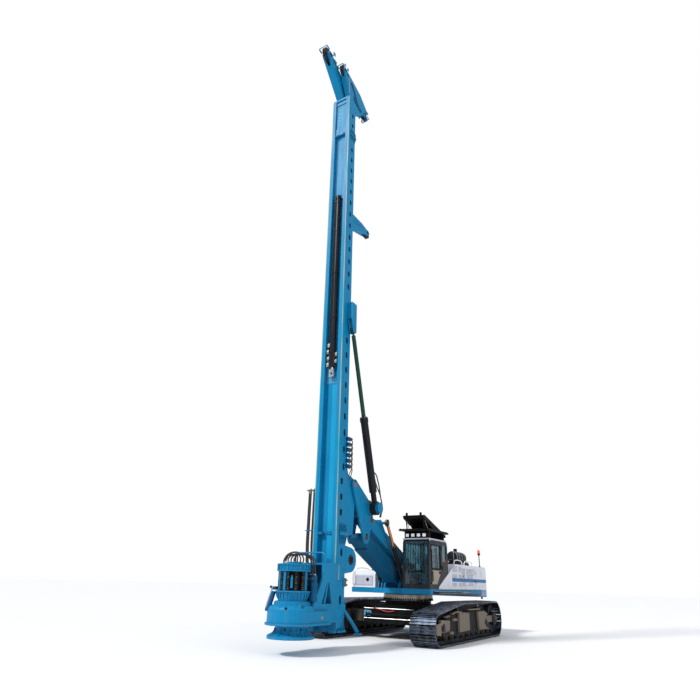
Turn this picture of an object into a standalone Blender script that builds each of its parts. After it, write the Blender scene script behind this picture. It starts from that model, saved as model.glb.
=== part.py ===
"""Rotary piling rig on crawler tracks, modelled as separate named sub-parts.

Units are metres and +Z is up. Every size below is written in the machine's own frame: its
origin is on the ground under the slewing centre, +X runs forward to the mast and +Y runs to
the cab side. The empty called rig moves that frame so that the model's own origin is the
middle of its footprint. A moving sub-part has its origin on its joint's axis.
"""
import math

import bmesh
import bpy
from mathutils import Matrix, Vector

# ---------------------------------------------------------------- general
GAP = 0.0003                 # between pieces that rest on each other
CLEAR = 0.006                # between pieces that pass each other
SIDES = 20                   # facets of a pin, a tube or a barrel
OVERLAP = 0.01               # how deep welded pieces run into each other

# ---------------------------------------------------------------- undercarriage
TRACK_HALF_WIDTH = 2.345     # outer edge of the shoes
SHOE_WIDTH = 0.80
SHOE_PITCH = 0.216
SHOE_PLATE = 0.10            # chain link and plate together
GROUSER = 0.045              # height of the bar on a shoe
LOOP_STEPS = 32              # facets of a full turn of the chain
TRACK_HEIGHT = 1.137
IDLER_X = 2.82
IDLER_RADIUS = 0.32
SPROCKET_X = -2.66
SPROCKET_RADIUS = 0.44
ROLLER_RADIUS = 0.12
ROLLER_COUNT = 9
ROLLER_FIRST_X = -1.95
ROLLER_LAST_X = 2.05
CARRIER_X = (-1.25, 0.75)
CARRIER_RADIUS = 0.10
TRACK_RETRACT = 0.60         # how far each track slides in for transport
CAR_BODY_HALF_X = 1.06
CAR_BODY_HALF_Y = 0.92
CAR_BODY_LOW = 0.46
CAR_BODY_HIGH = 1.02
BEAM_X = 1.28                # centre of each telescopic cross beam
BEAM_WIDTH = 0.40
BEAM_HEIGHT = 0.34
BEAM_LOW = 0.50
SLEEVE_WALL = 0.05
RING_RADIUS = 0.868
RING_BORE = 0.62
RING_LOW = 1.02
RING_HIGH = 1.325

# ---------------------------------------------------------------- upper structure
HOUSE_HALF_WIDTH = 1.60
HOUSE_REAR = -4.35
DECK_LOW = 1.37
DECK_HIGH = 1.533
DECK_FRONT_LEFT = 1.74
DECK_FRONT_MIDDLE = 1.45
DECK_FRONT_RIGHT = 1.24
CAB_REAR = 0.04
CAB_FRONT = 1.67
CAB_INNER = 0.624
CAB_OUTER = 1.578
CAB_ROOF = 3.077
CAB_WALL = 0.05
HINGE_OUT = 0.026
HINGE_PIN = 0.009
HINGE_ARM = 0.014
KNUCKLE_RADIUS = 0.020
KNUCKLE_HEIGHT = 0.080
CAB_HINGES = (2.16, 2.78)
HOOD_HINGES = (1.74, 2.08)
HOOD_DOOR_REAR = -2.75
HOOD_DOOR_FRONT = -1.25
HOOD_DOOR_LOW = 1.66
HOOD_DOOR_HIGH = 2.24
DOOR_REAR = 0.62
DOOR_FRONT = 1.58
HOOD_TOP = 2.36
HOOD_WALL = 0.03
HOOD_FRONT_TOP = -0.62
HOOD_FRONT_LOW = 0.0
WEIGHT_FRONT = -3.36
WEIGHT_LOW = 1.27

# ---------------------------------------------------------------- linkage
BOOM_FOOT = (1.00, 1.82)     # X and Z of each pivot
BOOM_HEAD = (3.60, 2.95)
LINK_HEAD = (3.25, 3.50)
DRUM = (3.40, 3.87)
MAST_PIVOT = (4.35, 4.48)
LUFF_FOOT = (1.22, 1.66)
LUFF_EYE = (2.42, 3.52)
LUFF_Y = 0.42
DRUM_RADIUS = 0.165
DRUM_REACH = 0.68
DRUM_SIDES = 28
STAY_EYE = (5.02, 9.52)
STAY_Y = 0.50
PIN_RADIUS = 0.06
EYE_SLACK = 0.018            # a rod's eye may drift this far from its pin
BOOM_HALF_WIDTH = 0.23
LINK_HALF_WIDTH = 0.21
SIDE_PLATE = 0.06
SIDE_PLATE_INNER = 0.245

# ---------------------------------------------------------------- mast
MAST_FRONT = 5.53
MAST_DEPTH = 0.546
MAST_WIDTH = 0.803
MAST_FOOT = 0.42
MAST_JOINT_LOW = 2.957
MAST_JOINT_HIGH = 18.34
MAST_TOP = 20.27
MAST_WALL = 0.035
RAIL_DEPTH = 0.12            # front strip that the carriage's shoes hold
RAIL_LIP = 0.026
CHANNEL_HALF_WIDTH = 0.25
CHANNEL_DEPTH = 0.17
HOLE_PITCH = 0.53
HOLE_WIDTH = 0.12
HOLE_HEIGHT = 0.24
WINCH = (4.66, 2.27)
WINCH_HALF_WIDTH = 0.36
CROWD_RADIUS = 0.095
CROWD_X = 5.46
CROWD_TOP = 15.05
CROWD_LOW = 8.12
GUIDE_ARM_Z = 14.50
GUIDE_SHEAVE = (3.36, 14.80)

# ---------------------------------------------------------------- rope head
MAIN_TIP = (6.58, 21.74)
MAIN_RADIUS = 0.36
MAIN_Y = -0.06
AUX_TIP = (5.86, 21.44)
AUX_RADIUS = 0.25
AUX_Y = 0.27
REAR_TIP = (4.16, 20.52)
REAR_RADIUS = 0.25

# ---------------------------------------------------------------- rotary drive
DRIVE_X = 6.88
SHROUD_RADIUS = 0.62
SHROUD_LIP = 0.66
DISC_RADIUS = 0.594
SLEEVE_RADIUS = 0.40
KELLY_RADIUS = 0.155
DRIVE_TUBE_RADIUS = 0.20
DISC_LOW = 0.36
DISC_THICK = 0.06
SHROUD_LOW = 0.66
SHROUD_HIGH = 0.98
CONE_LOW = 1.18
CAGE_LOW = 1.44
CAGE_HIGH = 1.89
DRIVE_TOP = 2.07
CAGE_RADIUS = 0.42
SPRING_RADIUS = 0.036
SPRING_COUNT = 12
GUSSET_Y = 0.47
GUSSET_THICK = 0.06
CARRIAGE_TOP = 2.13
SHOE_SLIDE = 0.0005          # running fit of the carriage on the mast's rails

# ---------------------------------------------------------------- derived values
ORIGIN_X = (DRIVE_X + SHROUD_LIP + HOUSE_REAR) / 2
TRACK_Y = TRACK_HALF_WIDTH - SHOE_WIDTH / 2
MAST_REAR = MAST_FRONT - MAST_DEPTH
MAST_HALF = MAST_WIDTH / 2
BODY_HALF = MAST_HALF - RAIL_LIP
SHOE_TOP = SHOE_PLATE + GROUSER
WHEEL_DROP = SHOE_TOP + GAP


def bore(radius, sides=SIDES):
    """Radius of a faceted hole in which a faceted pin of this radius can turn."""
    return radius / math.cos(math.pi / sides) + GAP


def material(name, colour, roughness, metallic=0.0):
    """One Principled material with the sub-part's plain colour."""
    made = bpy.data.materials.new(name)
    made.use_nodes = True
    shader = made.node_tree.nodes["Principled BSDF"]
    shader.inputs["Base Color"].default_value = (*colour, 1.0)
    shader.inputs["Roughness"].default_value = roughness
    shader.inputs["Metallic"].default_value = metallic
    made.diffuse_color = (*colour, 1.0)
    return made


# ---------------------------------------------------------------- shapes
def loose(mesh, name="piece"):
    """Put a mesh in the scene as a piece still to be welded."""
    piece = bpy.data.objects.new(name, mesh)
    bpy.context.scene.collection.objects.link(piece)
    return piece


def box(low, high):
    """A block between two corners."""
    mesh = bpy.data.meshes.new("box")
    shape = bmesh.new()
    size = [high[i] - low[i] for i in range(3)]
    middle = [(high[i] + low[i]) / 2 for i in range(3)]
    place = Matrix.Translation(middle) @ Matrix.Diagonal((*size, 1.0))
    bmesh.ops.create_cube(shape, size=1.0, matrix=place)
    shape.to_mesh(mesh)
    shape.free()
    return loose(mesh)


def bar(start, end, radius, end_radius=None, sides=SIDES):
    """A round bar or a cone between two points."""
    mesh = bpy.data.meshes.new("bar")
    shape = bmesh.new()
    along = Vector(end) - Vector(start)
    turn = along.to_track_quat("Z", "Y").to_matrix().to_4x4()
    place = Matrix.Translation((Vector(start) + Vector(end)) / 2) @ turn
    bmesh.ops.create_cone(shape, cap_ends=True, segments=sides, radius1=radius,
                          radius2=radius if end_radius is None else end_radius,
                          depth=along.length, matrix=place)
    shape.to_mesh(mesh)
    shape.free()
    return loose(mesh)


def pin(centre, low, high, radius, sides=SIDES):
    """A round bar along Y at an (X, Z) centre."""
    return plate("XZ", [circle(centre, radius, sides)], low, high)


def mesh_of(curve_object):
    """Turn a curve object into a closed mesh piece."""
    depsgraph = bpy.context.evaluated_depsgraph_get()
    mesh = bpy.data.meshes.new_from_object(curve_object.evaluated_get(depsgraph))
    shape = bmesh.new()
    shape.from_mesh(mesh)
    bmesh.ops.remove_doubles(shape, verts=shape.verts, dist=0.00002)
    bmesh.ops.transform(shape, matrix=curve_object.matrix_world, verts=shape.verts)
    bmesh.ops.recalc_face_normals(shape, faces=shape.faces)
    shape.to_mesh(mesh)
    shape.free()
    bpy.data.objects.remove(curve_object)
    return loose(mesh)


# Each plane maps an outline's two coordinates and its thickness to X, Y and Z.
PLANES = {
    "XZ": Matrix(((1, 0, 0, 0), (0, 0, -1, 0), (0, 1, 0, 0), (0, 0, 0, 1))),
    "XY": Matrix.Identity(4),
    "YZ": Matrix(((0, 0, 1, 0), (1, 0, 0, 0), (0, 1, 0, 0), (0, 0, 0, 1))),
}
THICKNESS_SIGN = {"XZ": -1, "XY": 1, "YZ": 1}


def plate(plane, loops, low, high):
    """A flat outline, with any holes after its first loop, from low to high."""
    curve = bpy.data.curves.new("outline", "CURVE")
    curve.dimensions = "2D"
    curve.fill_mode = "BOTH"
    curve.extrude = (high - low) / 2
    for loop in loops:
        spline = curve.splines.new("POLY")
        spline.points.add(len(loop) - 1)
        for point, (u, v) in zip(spline.points, loop):
            point.co = (u, v, 0, 1)
        spline.use_cyclic_u = True
    outline = loose(curve)
    middle = THICKNESS_SIGN[plane] * (low + high) / 2
    outline.matrix_world = PLANES[plane] @ Matrix.Translation((0, 0, middle))
    bpy.context.view_layer.update()
    return mesh_of(outline)


def tube(points, radius, resolution=2):
    """A bent tube through the points, with closed ends."""
    curve = bpy.data.curves.new("tube", "CURVE")
    curve.dimensions = "3D"
    curve.bevel_depth = radius
    curve.bevel_resolution = resolution
    curve.use_fill_caps = True
    spline = curve.splines.new("POLY")
    spline.points.add(len(points) - 1)
    for point, place in zip(spline.points, points):
        point.co = (*place, 1)
    run = loose(curve)
    bpy.context.view_layer.update()
    return mesh_of(run)


def turned(profile, centre, axis="Z", steps=36):
    """A closed profile of (radius, height) turned round an axis through the centre."""
    mesh = bpy.data.meshes.new("turned")
    count = len(profile)
    edges = [(i, (i + 1) % count) for i in range(count)]
    mesh.from_pydata([(r, 0, h) for r, h in profile], edges, [])
    piece = loose(mesh)
    screw = piece.modifiers.new("turn", "SCREW")
    screw.steps = steps
    screw.render_steps = steps
    screw.use_merge_vertices = True
    screw.merge_threshold = 0.00002
    depsgraph = bpy.context.evaluated_depsgraph_get()
    done = bpy.data.meshes.new_from_object(piece.evaluated_get(depsgraph))
    bpy.data.objects.remove(piece)
    facet = Matrix.Rotation(math.pi / steps, 4, "Z")
    turn = {"Z": facet,
            "Y": Matrix.Rotation(-math.pi / 2, 4, "X") @ facet}[axis]
    shape = bmesh.new()
    shape.from_mesh(done)
    bmesh.ops.transform(shape, matrix=Matrix.Translation(centre) @ turn, verts=shape.verts)
    bmesh.ops.recalc_face_normals(shape, faces=shape.faces)
    shape.to_mesh(done)
    shape.free()
    return loose(done)


def arc(centre, radius, start, end, count):
    """Points along an arc, with its angles in degrees."""
    points = []
    for i in range(count + 1):
        angle = math.radians(start + (end - start) * i / count)
        points.append((centre[0] + radius * math.cos(angle), centre[1] + radius * math.sin(angle)))
    return points


def circle(centre, radius, sides=SIDES):
    """A closed round loop."""
    return arc(centre, radius, 0, 360, sides)[:-1]


def hole_loop(centre, radius, sides=SIDES):
    """Loop of a hole for a pin of this radius, its flats facing the pin's corners."""
    facet = 180 / sides
    return arc(centre, bore(radius, sides), facet, 360 + facet, sides)[:-1]


def slot(centre, width, height, steps=3):
    """A tall loop with round ends."""
    rise = (height - width) / 2
    top = arc((centre[0], centre[1] + rise), width / 2, 0, 180, steps)
    low = arc((centre[0], centre[1] - rise), width / 2, 180, 360, steps)
    return top + low


def between(start, end, share, side=0.0):
    """A point part of the way from start to end, moved sideways to the left of the way."""
    dx = end[0] - start[0]
    dz = end[1] - start[1]
    length = math.hypot(dx, dz)
    return (start[0] + dx * share - dz / length * side, start[1] + dz * share + dx / length * side)


def arm_outline(start, end, radii, waist):
    """A link's side view: a round eye at each end and a body of the waist's half depth."""
    angle = math.degrees(math.atan2(end[1] - start[1], end[0] - start[0]))
    near = arc(start, radii[0], angle + 90, angle + 270, 10)
    far = arc(end, radii[1], angle - 90, angle + 90, 10)
    below = [between(start, end, share, -waist) for share in (0.16, 0.84)]
    above = [between(start, end, share, waist) for share in (0.84, 0.16)]
    return near + below + far + above


# ---------------------------------------------------------------- assembling
def weld(base, added=(), cut=()):
    """Join pieces to the first and cut others from it, then drop the tools."""
    for kind, tools in (("UNION", added), ("DIFFERENCE", cut)):
        for tool in tools:
            step = base.modifiers.new(kind, "BOOLEAN")
            step.operation = kind
            step.object = tool
    depsgraph = bpy.context.evaluated_depsgraph_get()
    mesh = bpy.data.meshes.new_from_object(base.evaluated_get(depsgraph))
    for tool in (base, *added, *cut):
        bpy.data.objects.remove(tool)
    return loose(mesh)


def joined(pieces):
    """Put pieces that do not touch into one cutter."""
    shape = bmesh.new()
    for piece in pieces:
        shape.from_mesh(piece.data)
    mesh = bpy.data.meshes.new("joined")
    shape.to_mesh(mesh)
    shape.free()
    for piece in pieces:
        bpy.data.objects.remove(piece)
    return loose(mesh)


class Rig:
    """The collection and the empty that hold every finished sub-part."""

    def __init__(self):
        self.parts = bpy.data.collections.new("rotary_piling_rig")
        bpy.context.scene.collection.children.link(self.parts)
        self.frame = bpy.data.objects.new("rig", None)
        self.frame.location = (-ORIGIN_X, 0, 0)
        self.parts.objects.link(self.frame)

    def add(self, name, piece, paint, pivot=(0, 0, 0), smooth=False):
        """Finish a piece: name, material, origin on its pivot, and its place in the rig."""
        mesh = piece.data
        shape = bmesh.new()
        shape.from_mesh(mesh)
        bmesh.ops.remove_doubles(shape, verts=shape.verts, dist=0.00001)
        bmesh.ops.translate(shape, verts=shape.verts, vec=-Vector(pivot))
        shape.to_mesh(mesh)
        shape.free()
        mesh.materials.clear()
        mesh.materials.append(paint)
        if smooth:
            mesh.shade_smooth()
            mesh.set_sharp_from_angle(angle=math.radians(35))
        mesh.name = name
        piece.name = name
        piece.parent = self.frame
        piece.location = pivot
        bpy.context.scene.collection.objects.unlink(piece)
        self.parts.objects.link(piece)
        return piece


# ---------------------------------------------------------------- undercarriage
def wheel_circles():
    """Centre and radius of all that the chain runs round, in the XZ plane."""
    carrier_z = TRACK_HEIGHT - WHEEL_DROP - CARRIER_RADIUS
    low = WHEEL_DROP
    circles = [((IDLER_X, low + IDLER_RADIUS), IDLER_RADIUS),
               ((SPROCKET_X, low + SPROCKET_RADIUS), SPROCKET_RADIUS)]
    circles += [((x, carrier_z), CARRIER_RADIUS) for x in CARRIER_X]
    return circles


def hull_loop(circles, offset, steps, spread=1.0):
    """The taut loop round the circles, at an offset from them."""
    cloud = []
    for centre, radius in circles:
        cloud += circle(centre, (radius + offset) * spread, steps)
    cloud = sorted(set((round(x, 6), round(z, 6)) for x, z in cloud))

    def chain(points):
        kept = []
        for p in points:
            while len(kept) > 1 and turn(kept[-2], kept[-1], p) <= 0:
                kept.pop()
            kept.append(p)
        return kept[:-1]

    def turn(a, b, c):
        return (b[0] - a[0]) * (c[1] - a[1]) - (b[1] - a[1]) * (c[0] - a[0])

    return chain(cloud) + chain(cloud[::-1])


def walk(loop, count):
    """Evenly spaced points and outward normals along a closed loop."""
    ends = loop[1:] + loop[:1]
    lengths = [math.dist(a, b) for a, b in zip(loop, ends)]
    step = sum(lengths) / count
    found = []
    side = 0
    start = 0.0
    for i in range(count):
        target = i * step
        while start + lengths[side] < target:
            start += lengths[side]
            side += 1
        a, b = loop[side], ends[side]
        share = (target - start) / lengths[side]
        normal = ((b[1] - a[1]) / lengths[side], -(b[0] - a[0]) / lengths[side])
        found.append(((a[0] + (b[0] - a[0]) * share, a[1] + (b[1] - a[1]) * share), normal))
    return found


def belt_outline():
    """Outer loop with a bar on each shoe, and the plain inner loop."""
    circles = wheel_circles()
    inner = hull_loop(circles, GAP, LOOP_STEPS, 1 / math.cos(math.pi / LOOP_STEPS))
    plate_line = hull_loop(circles, GAP + SHOE_PLATE, 3 * LOOP_STEPS)
    length = sum(math.dist(a, b) for a, b in zip(plate_line, plate_line[1:] + plate_line[:1]))
    shoes = round(length / SHOE_PITCH)
    heights = (0.0, GROUSER, GROUSER, 0.0, 0.0)
    outer = []
    for i, (point, normal) in enumerate(walk(plate_line, shoes * len(heights))):
        rise = heights[i % len(heights)]
        outer.append((point[0] + normal[0] * rise, point[1] + normal[1] * rise))
    return outer, inner


def track_parts(rig, side, name, paints):
    """One crawler: its frame with beams and rollers, wheels and the shod belt."""
    inner = side * (TRACK_Y - SHOE_WIDTH / 2)
    outer = side * (TRACK_Y + SHOE_WIDTH / 2)
    low_y, high_y = sorted((inner, outer))
    belt = plate("XZ", belt_outline(), low_y, high_y)
    rig.add(name + "_track_belt", belt, paints["shoe"])

    wheel_half = 0.19
    circles = wheel_circles()
    hub_radius = 0.075
    for label, (centre, radius), rim in (("idler", circles[0], 0.05), ("sprocket", circles[1], 0.03)):
        profile = [(bore(hub_radius), -wheel_half), (bore(hub_radius), wheel_half),
                   (radius * 0.38, wheel_half), (radius * 0.42, wheel_half - rim),
                   (radius * 0.80, wheel_half - rim), (radius * 0.84, wheel_half),
                   (radius - GAP, wheel_half), (radius - GAP, -wheel_half)]
        wheel = turned(profile, (centre[0], side * TRACK_Y, centre[1]), "Y", SIDES)
        rig.add(name + "_" + label, wheel, paints["iron"], (centre[0], side * TRACK_Y, centre[1]),
                True)

    frame_half = 0.25
    frame_low = WHEEL_DROP + ROLLER_RADIUS
    frame_high = 0.86
    side_view = [(-2.10, frame_low), (2.18, frame_low), (2.18, 0.62), (1.80, 0.74),
                 (1.20, frame_high), (-1.75, frame_high), (-2.10, 0.74)]
    beam = plate("XZ", [side_view], side * TRACK_Y - frame_half, side * TRACK_Y + frame_half)
    added = []
    for i in range(ROLLER_COUNT):
        x = ROLLER_FIRST_X + (ROLLER_LAST_X - ROLLER_FIRST_X) * i / (ROLLER_COUNT - 1)
        added.append(pin((x, frame_low), side * TRACK_Y - frame_half + 0.03,
                         side * TRACK_Y + frame_half - 0.03, ROLLER_RADIUS - GAP, 14))
    for centre, radius in circles[2:]:
        added.append(pin(centre, side * TRACK_Y - 0.17, side * TRACK_Y + 0.17, radius - GAP, 14))
        added.append(box((centre[0] - 0.05, side * TRACK_Y - 0.06, frame_high - OVERLAP),
                         (centre[0] + 0.05, side * TRACK_Y + 0.06, centre[1])))
    for (centre, radius), reach in ((circles[0], 1.95), (circles[1], -1.90)):
        axle_low = side * TRACK_Y - wheel_half - 0.05
        axle_high = side * TRACK_Y + wheel_half + 0.05
        added.append(pin(centre, axle_low, axle_high, hub_radius))
        for y in (axle_low - 0.03, axle_high - 0.03):
            fork = sorted((centre[0], reach))
            added.append(box((fork[0] - 0.09 * (reach > 0), y, centre[1] - 0.10),
                             (fork[1] + 0.09 * (reach < 0), y + 0.06, centre[1] + 0.10)))
    for x in (-BEAM_X, BEAM_X):
        near = side * (TRACK_Y - frame_half + OVERLAP)
        far = side * (TRACK_RETRACT + CLEAR)
        y_low, y_high = sorted((near, far))
        added.append(box((x - BEAM_WIDTH / 2, y_low, BEAM_LOW),
                         (x + BEAM_WIDTH / 2, y_high, BEAM_LOW + BEAM_HEIGHT)))
    rig.add(name + "_track_frame", weld(beam, added), paints["frame"])


def car_body(rig, paints):
    """Centre box with the two sleeves that the cross beams slide in."""
    base = box((-CAR_BODY_HALF_X, -CAR_BODY_HALF_Y, CAR_BODY_LOW),
               (CAR_BODY_HALF_X, CAR_BODY_HALF_Y, CAR_BODY_HIGH))
    added = []
    cut = []
    half = BEAM_WIDTH / 2
    for x in (-BEAM_X, BEAM_X):
        added.append(box((x - half - SLEEVE_WALL, -CAR_BODY_HALF_Y, BEAM_LOW - SLEEVE_WALL),
                         (x + half + SLEEVE_WALL, CAR_BODY_HALF_Y,
                          BEAM_LOW + BEAM_HEIGHT + SLEEVE_WALL)))
        cut.append(box((x - half - GAP, -TRACK_Y, BEAM_LOW - GAP),
                       (x + half + GAP, TRACK_Y, BEAM_LOW + BEAM_HEIGHT + GAP)))
    added.append(bar((0, 0, CAR_BODY_HIGH - OVERLAP), (0, 0, RING_LOW + 0.12), RING_RADIUS - 0.06,
                     sides=36))
    rig.add("car_body", weld(base, added, cut), paints["dark"])


def slew_ring(rig, paints):
    """Bearing ring that carries the upper structure, with its toothed lower band."""
    teeth = 36
    tooth = 0.03
    band = []
    for i in range(teeth):
        for share, rise in ((0.0, 0.0), (0.25, tooth), (0.5, tooth), (0.75, 0.0)):
            angle = 2 * math.pi * (i + share) / teeth
            reach = RING_RADIUS - 0.05 + rise
            band.append((reach * math.cos(angle), reach * math.sin(angle)))
    low = RING_LOW + 0.12 + GAP
    gear = plate("XY", [band], low, low + 0.06)
    upper = bar((0, 0, low + 0.05), (0, 0, RING_HIGH), RING_RADIUS, sides=36)
    rig.add("slew_ring", weld(gear, [upper]), paints["steel"])


# ---------------------------------------------------------------- upper structure
def house_frame(rig, paints):
    """Deck with the brackets for boom, link and luffing cylinders."""
    width = HOUSE_HALF_WIDTH
    outline = [(WEIGHT_FRONT + GAP, -width), (DECK_FRONT_RIGHT, -width),
               (DECK_FRONT_RIGHT, -0.62), (DECK_FRONT_MIDDLE, -0.62), (DECK_FRONT_MIDDLE, 0.60),
               (DECK_FRONT_LEFT, 0.60), (DECK_FRONT_LEFT, width), (WEIGHT_FRONT + GAP, width)]
    deck = plate("XY", [outline], DECK_LOW, DECK_HIGH)
    added = [bar((0, 0, RING_HIGH + GAP), (0, 0, DECK_LOW + OVERLAP), RING_RADIUS - 0.02,
                 sides=36)]
    foot, top = BOOM_FOOT, link_foot()
    rear, front = foot[0] - 0.92, foot[0] + 0.30
    side_view = [(rear, DECK_HIGH - OVERLAP), (front, DECK_HIGH - OVERLAP), (front, 1.62)]
    side_view += arc(foot, 0.17, -10, 50, 4)
    side_view += arc(top, 0.17, 20, 150, 6)
    for sign in (-1, 1):
        y = sorted((sign * SIDE_PLATE_INNER, sign * (SIDE_PLATE_INNER + SIDE_PLATE)))
        added.append(plate("XZ", [side_view], *y))
        for near, far in ((0.345, 0.375), (0.465, 0.495)):
            ear = [(LUFF_FOOT[0] - 0.16, DECK_HIGH - OVERLAP),
                   (LUFF_FOOT[0] + 0.16, DECK_HIGH - OVERLAP)]
            ear += arc(LUFF_FOOT, 0.10, 0, 180, 6)
            added.append(plate("XZ", [ear], *sorted((sign * near, sign * far))))
        added.append(pin(LUFF_FOOT, *sorted((sign * 0.35, sign * 0.49)), 0.045))
    reach = SIDE_PLATE_INNER + SIDE_PLATE - OVERLAP
    added.append(pin(foot, -reach, reach, PIN_RADIUS))
    added.append(pin(top, -reach, reach, PIN_RADIUS))
    added.append(box((rear + 0.05, -reach, DECK_HIGH - OVERLAP), (rear + 0.25, reach, 1.70)))
    rig.add("house_frame", weld(deck, added), paints["blue"])


def rounded_rear(width, rear, front, radius):
    """Plan view of the rear of the house."""
    corner_low = arc((rear + radius, -width + radius), radius, 180, 270, 5)
    corner_high = arc((rear + radius, width - radius), radius, 90, 180, 5)
    return corner_low + [(front, -width), (front, width)] + corner_high


def counterweight(rig, paints):
    """Cast block across the rear of the deck."""
    plan = rounded_rear(HOUSE_HALF_WIDTH, HOUSE_REAR, WEIGHT_FRONT, 0.38)
    block = plate("XY", [plan], WEIGHT_LOW, HOOD_TOP)
    rig.add("counterweight", block, paints["white"])


def hinge_knuckle(pivot, side, low):
    """Door's knuckle with its flap, and the cutter for the pin, at one height."""
    x, y = pivot
    high = low + KNUCKLE_HEIGHT
    face = y - side * HINGE_OUT
    knuckle = bar((x, y, low), (x, y, high), KNUCKLE_RADIUS, sides=16)
    across = sorted((face - side * 0.010, face + side * 0.020))
    flap = box((x + 0.010, across[0], low + 0.004), (x + 0.090, across[1], high - 0.004))
    hole = plate("XY", [hole_loop(pivot, HINGE_PIN)], low - 0.01, high + 0.01)
    return [knuckle, flap], hole


def hinge_bracket(pivot, side, low):
    """Two arms on the body with the pin that the door's knuckle turns on."""
    x, y = pivot
    arm = [(-0.080, -0.036), (-0.010, -0.036), (-0.010, -0.014), (0.012, -0.014),
           (0.012, 0.012), (-0.020, 0.012), (-0.080, -0.015)]
    outline = [(x + along, y + side * out) for along, out in arm]
    high = low + KNUCKLE_HEIGHT
    below = plate("XY", [outline], low - 0.003 - HINGE_ARM, low - 0.003)
    above = plate("XY", [outline], high + 0.003, high + 0.003 + HINGE_ARM)
    axle = plate("XY", [circle(pivot, HINGE_PIN)], low - 0.010, high + 0.010)
    return [below, above, axle]


def hood_side_view(inset=0.0):
    """Side outline of the hood, whose front slopes."""
    rear = WEIGHT_FRONT + GAP + inset
    low = DECK_HIGH + GAP - (0.1 if inset else 0.0)
    return [(rear, low), (HOOD_FRONT_LOW - inset, low), (HOOD_FRONT_LOW - inset, 1.75),
            (HOOD_FRONT_TOP - inset, HOOD_TOP - inset), (rear, HOOD_TOP - inset)]


def hood_door_outline(margin):
    """Opening in the hood's side, or the door in it with a margin."""
    rear, front = HOOD_DOOR_REAR + margin, HOOD_DOOR_FRONT - margin
    low, high = HOOD_DOOR_LOW + margin, HOOD_DOOR_HIGH - margin
    return [(rear, low), (front, low), (front, high), (rear, high)]


def engine_hood(rig, paints):
    """Hollow cover over the engine, with a forward wing beside the cab and a side door."""
    width = HOUSE_HALF_WIDTH
    shell = plate("XZ", [hood_side_view()], -width, width)
    hollow = plate("XZ", [hood_side_view(HOOD_WALL)], HOOD_WALL - width, width - HOOD_WALL)
    cut = [hollow]
    for y in ((-width - 0.1, -width + 0.1), (width - 0.1, width + 0.1)):
        cut.append(plate("XZ", [hood_door_outline(0.0)], *y))
    wing = [(HOOD_FRONT_LOW - 0.30, DECK_HIGH + GAP), (0.98, DECK_HIGH + GAP), (0.98, 1.60),
            (HOOD_FRONT_TOP + 0.03, HOOD_TOP - 0.01), (HOOD_FRONT_TOP - 0.2, HOOD_TOP - 0.01),
            (HOOD_FRONT_TOP - 0.2, 1.75)]
    added = [plate("XZ", [wing], width - 0.014, width)]
    for sign, name in ((1, "left"), (-1, "right")):
        y = sorted((sign * (width - HOOD_WALL), sign * width))
        leaf = plate("XZ", [hood_door_outline(CLEAR)], *y)
        pivot = (HOOD_DOOR_REAR, sign * (width + HINGE_OUT))
        fittings, holes = [], []
        for low in HOOD_HINGES:
            knuckle, hole = hinge_knuckle(pivot, sign, low)
            fittings += knuckle
            holes.append(hole)
            added += hinge_bracket(pivot, sign, low)
        rig.add("hood_door_" + name, weld(leaf, fittings, holes), paints["white"],
                (*pivot, HOOD_HINGES[0]))
    rig.add("engine_hood", weld(weld(shell, cut=cut), added), paints["white"])


def engine_block(rig, paints):
    """The engine with its pumps, as one heavy block standing on the deck."""
    rig.add("engine_block", box((-3.05, -0.75, DECK_HIGH + GAP), (-1.15, 0.55, 2.20)),
            paints["iron"])


def cab_windows():
    """Cutters for the cab's windows and its door opening."""
    low, high = CAB_INNER - 0.1, CAB_OUTER + 0.1
    front = box((CAB_FRONT - 0.1, CAB_INNER + 0.07, 1.66), (CAB_FRONT + 0.1, CAB_OUTER - 0.07, 2.98))
    rear = box((CAB_REAR - 0.1, CAB_INNER + 0.12, 2.40), (CAB_REAR + 0.1, CAB_OUTER - 0.12, 2.93))
    right = box((0.30, low, 2.10), (1.50, CAB_INNER + 0.1, 2.93))
    quarter = box((0.17, CAB_OUTER - 0.1, 2.38), (0.53, high, 2.93))
    roof = box((0.55, CAB_INNER + 0.2, CAB_ROOF - 0.1), (1.35, CAB_OUTER - 0.2, CAB_ROOF + 0.1))
    opening = plate("XZ", [door_outline(0.0)], CAB_OUTER - 0.1, high)
    return [front, rear, right, quarter, roof, opening]


def door_outline(margin):
    """The cab door, whose lower rear corner follows the hood's wing."""
    return [(DOOR_FRONT - margin, 1.62 + margin), (1.05 + margin / 2, 1.62 + margin),
            (DOOR_REAR + margin, 2.06 + margin / 2), (DOOR_REAR + margin, 2.98 - margin),
            (DOOR_FRONT - margin, 2.98 - margin)]


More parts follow.
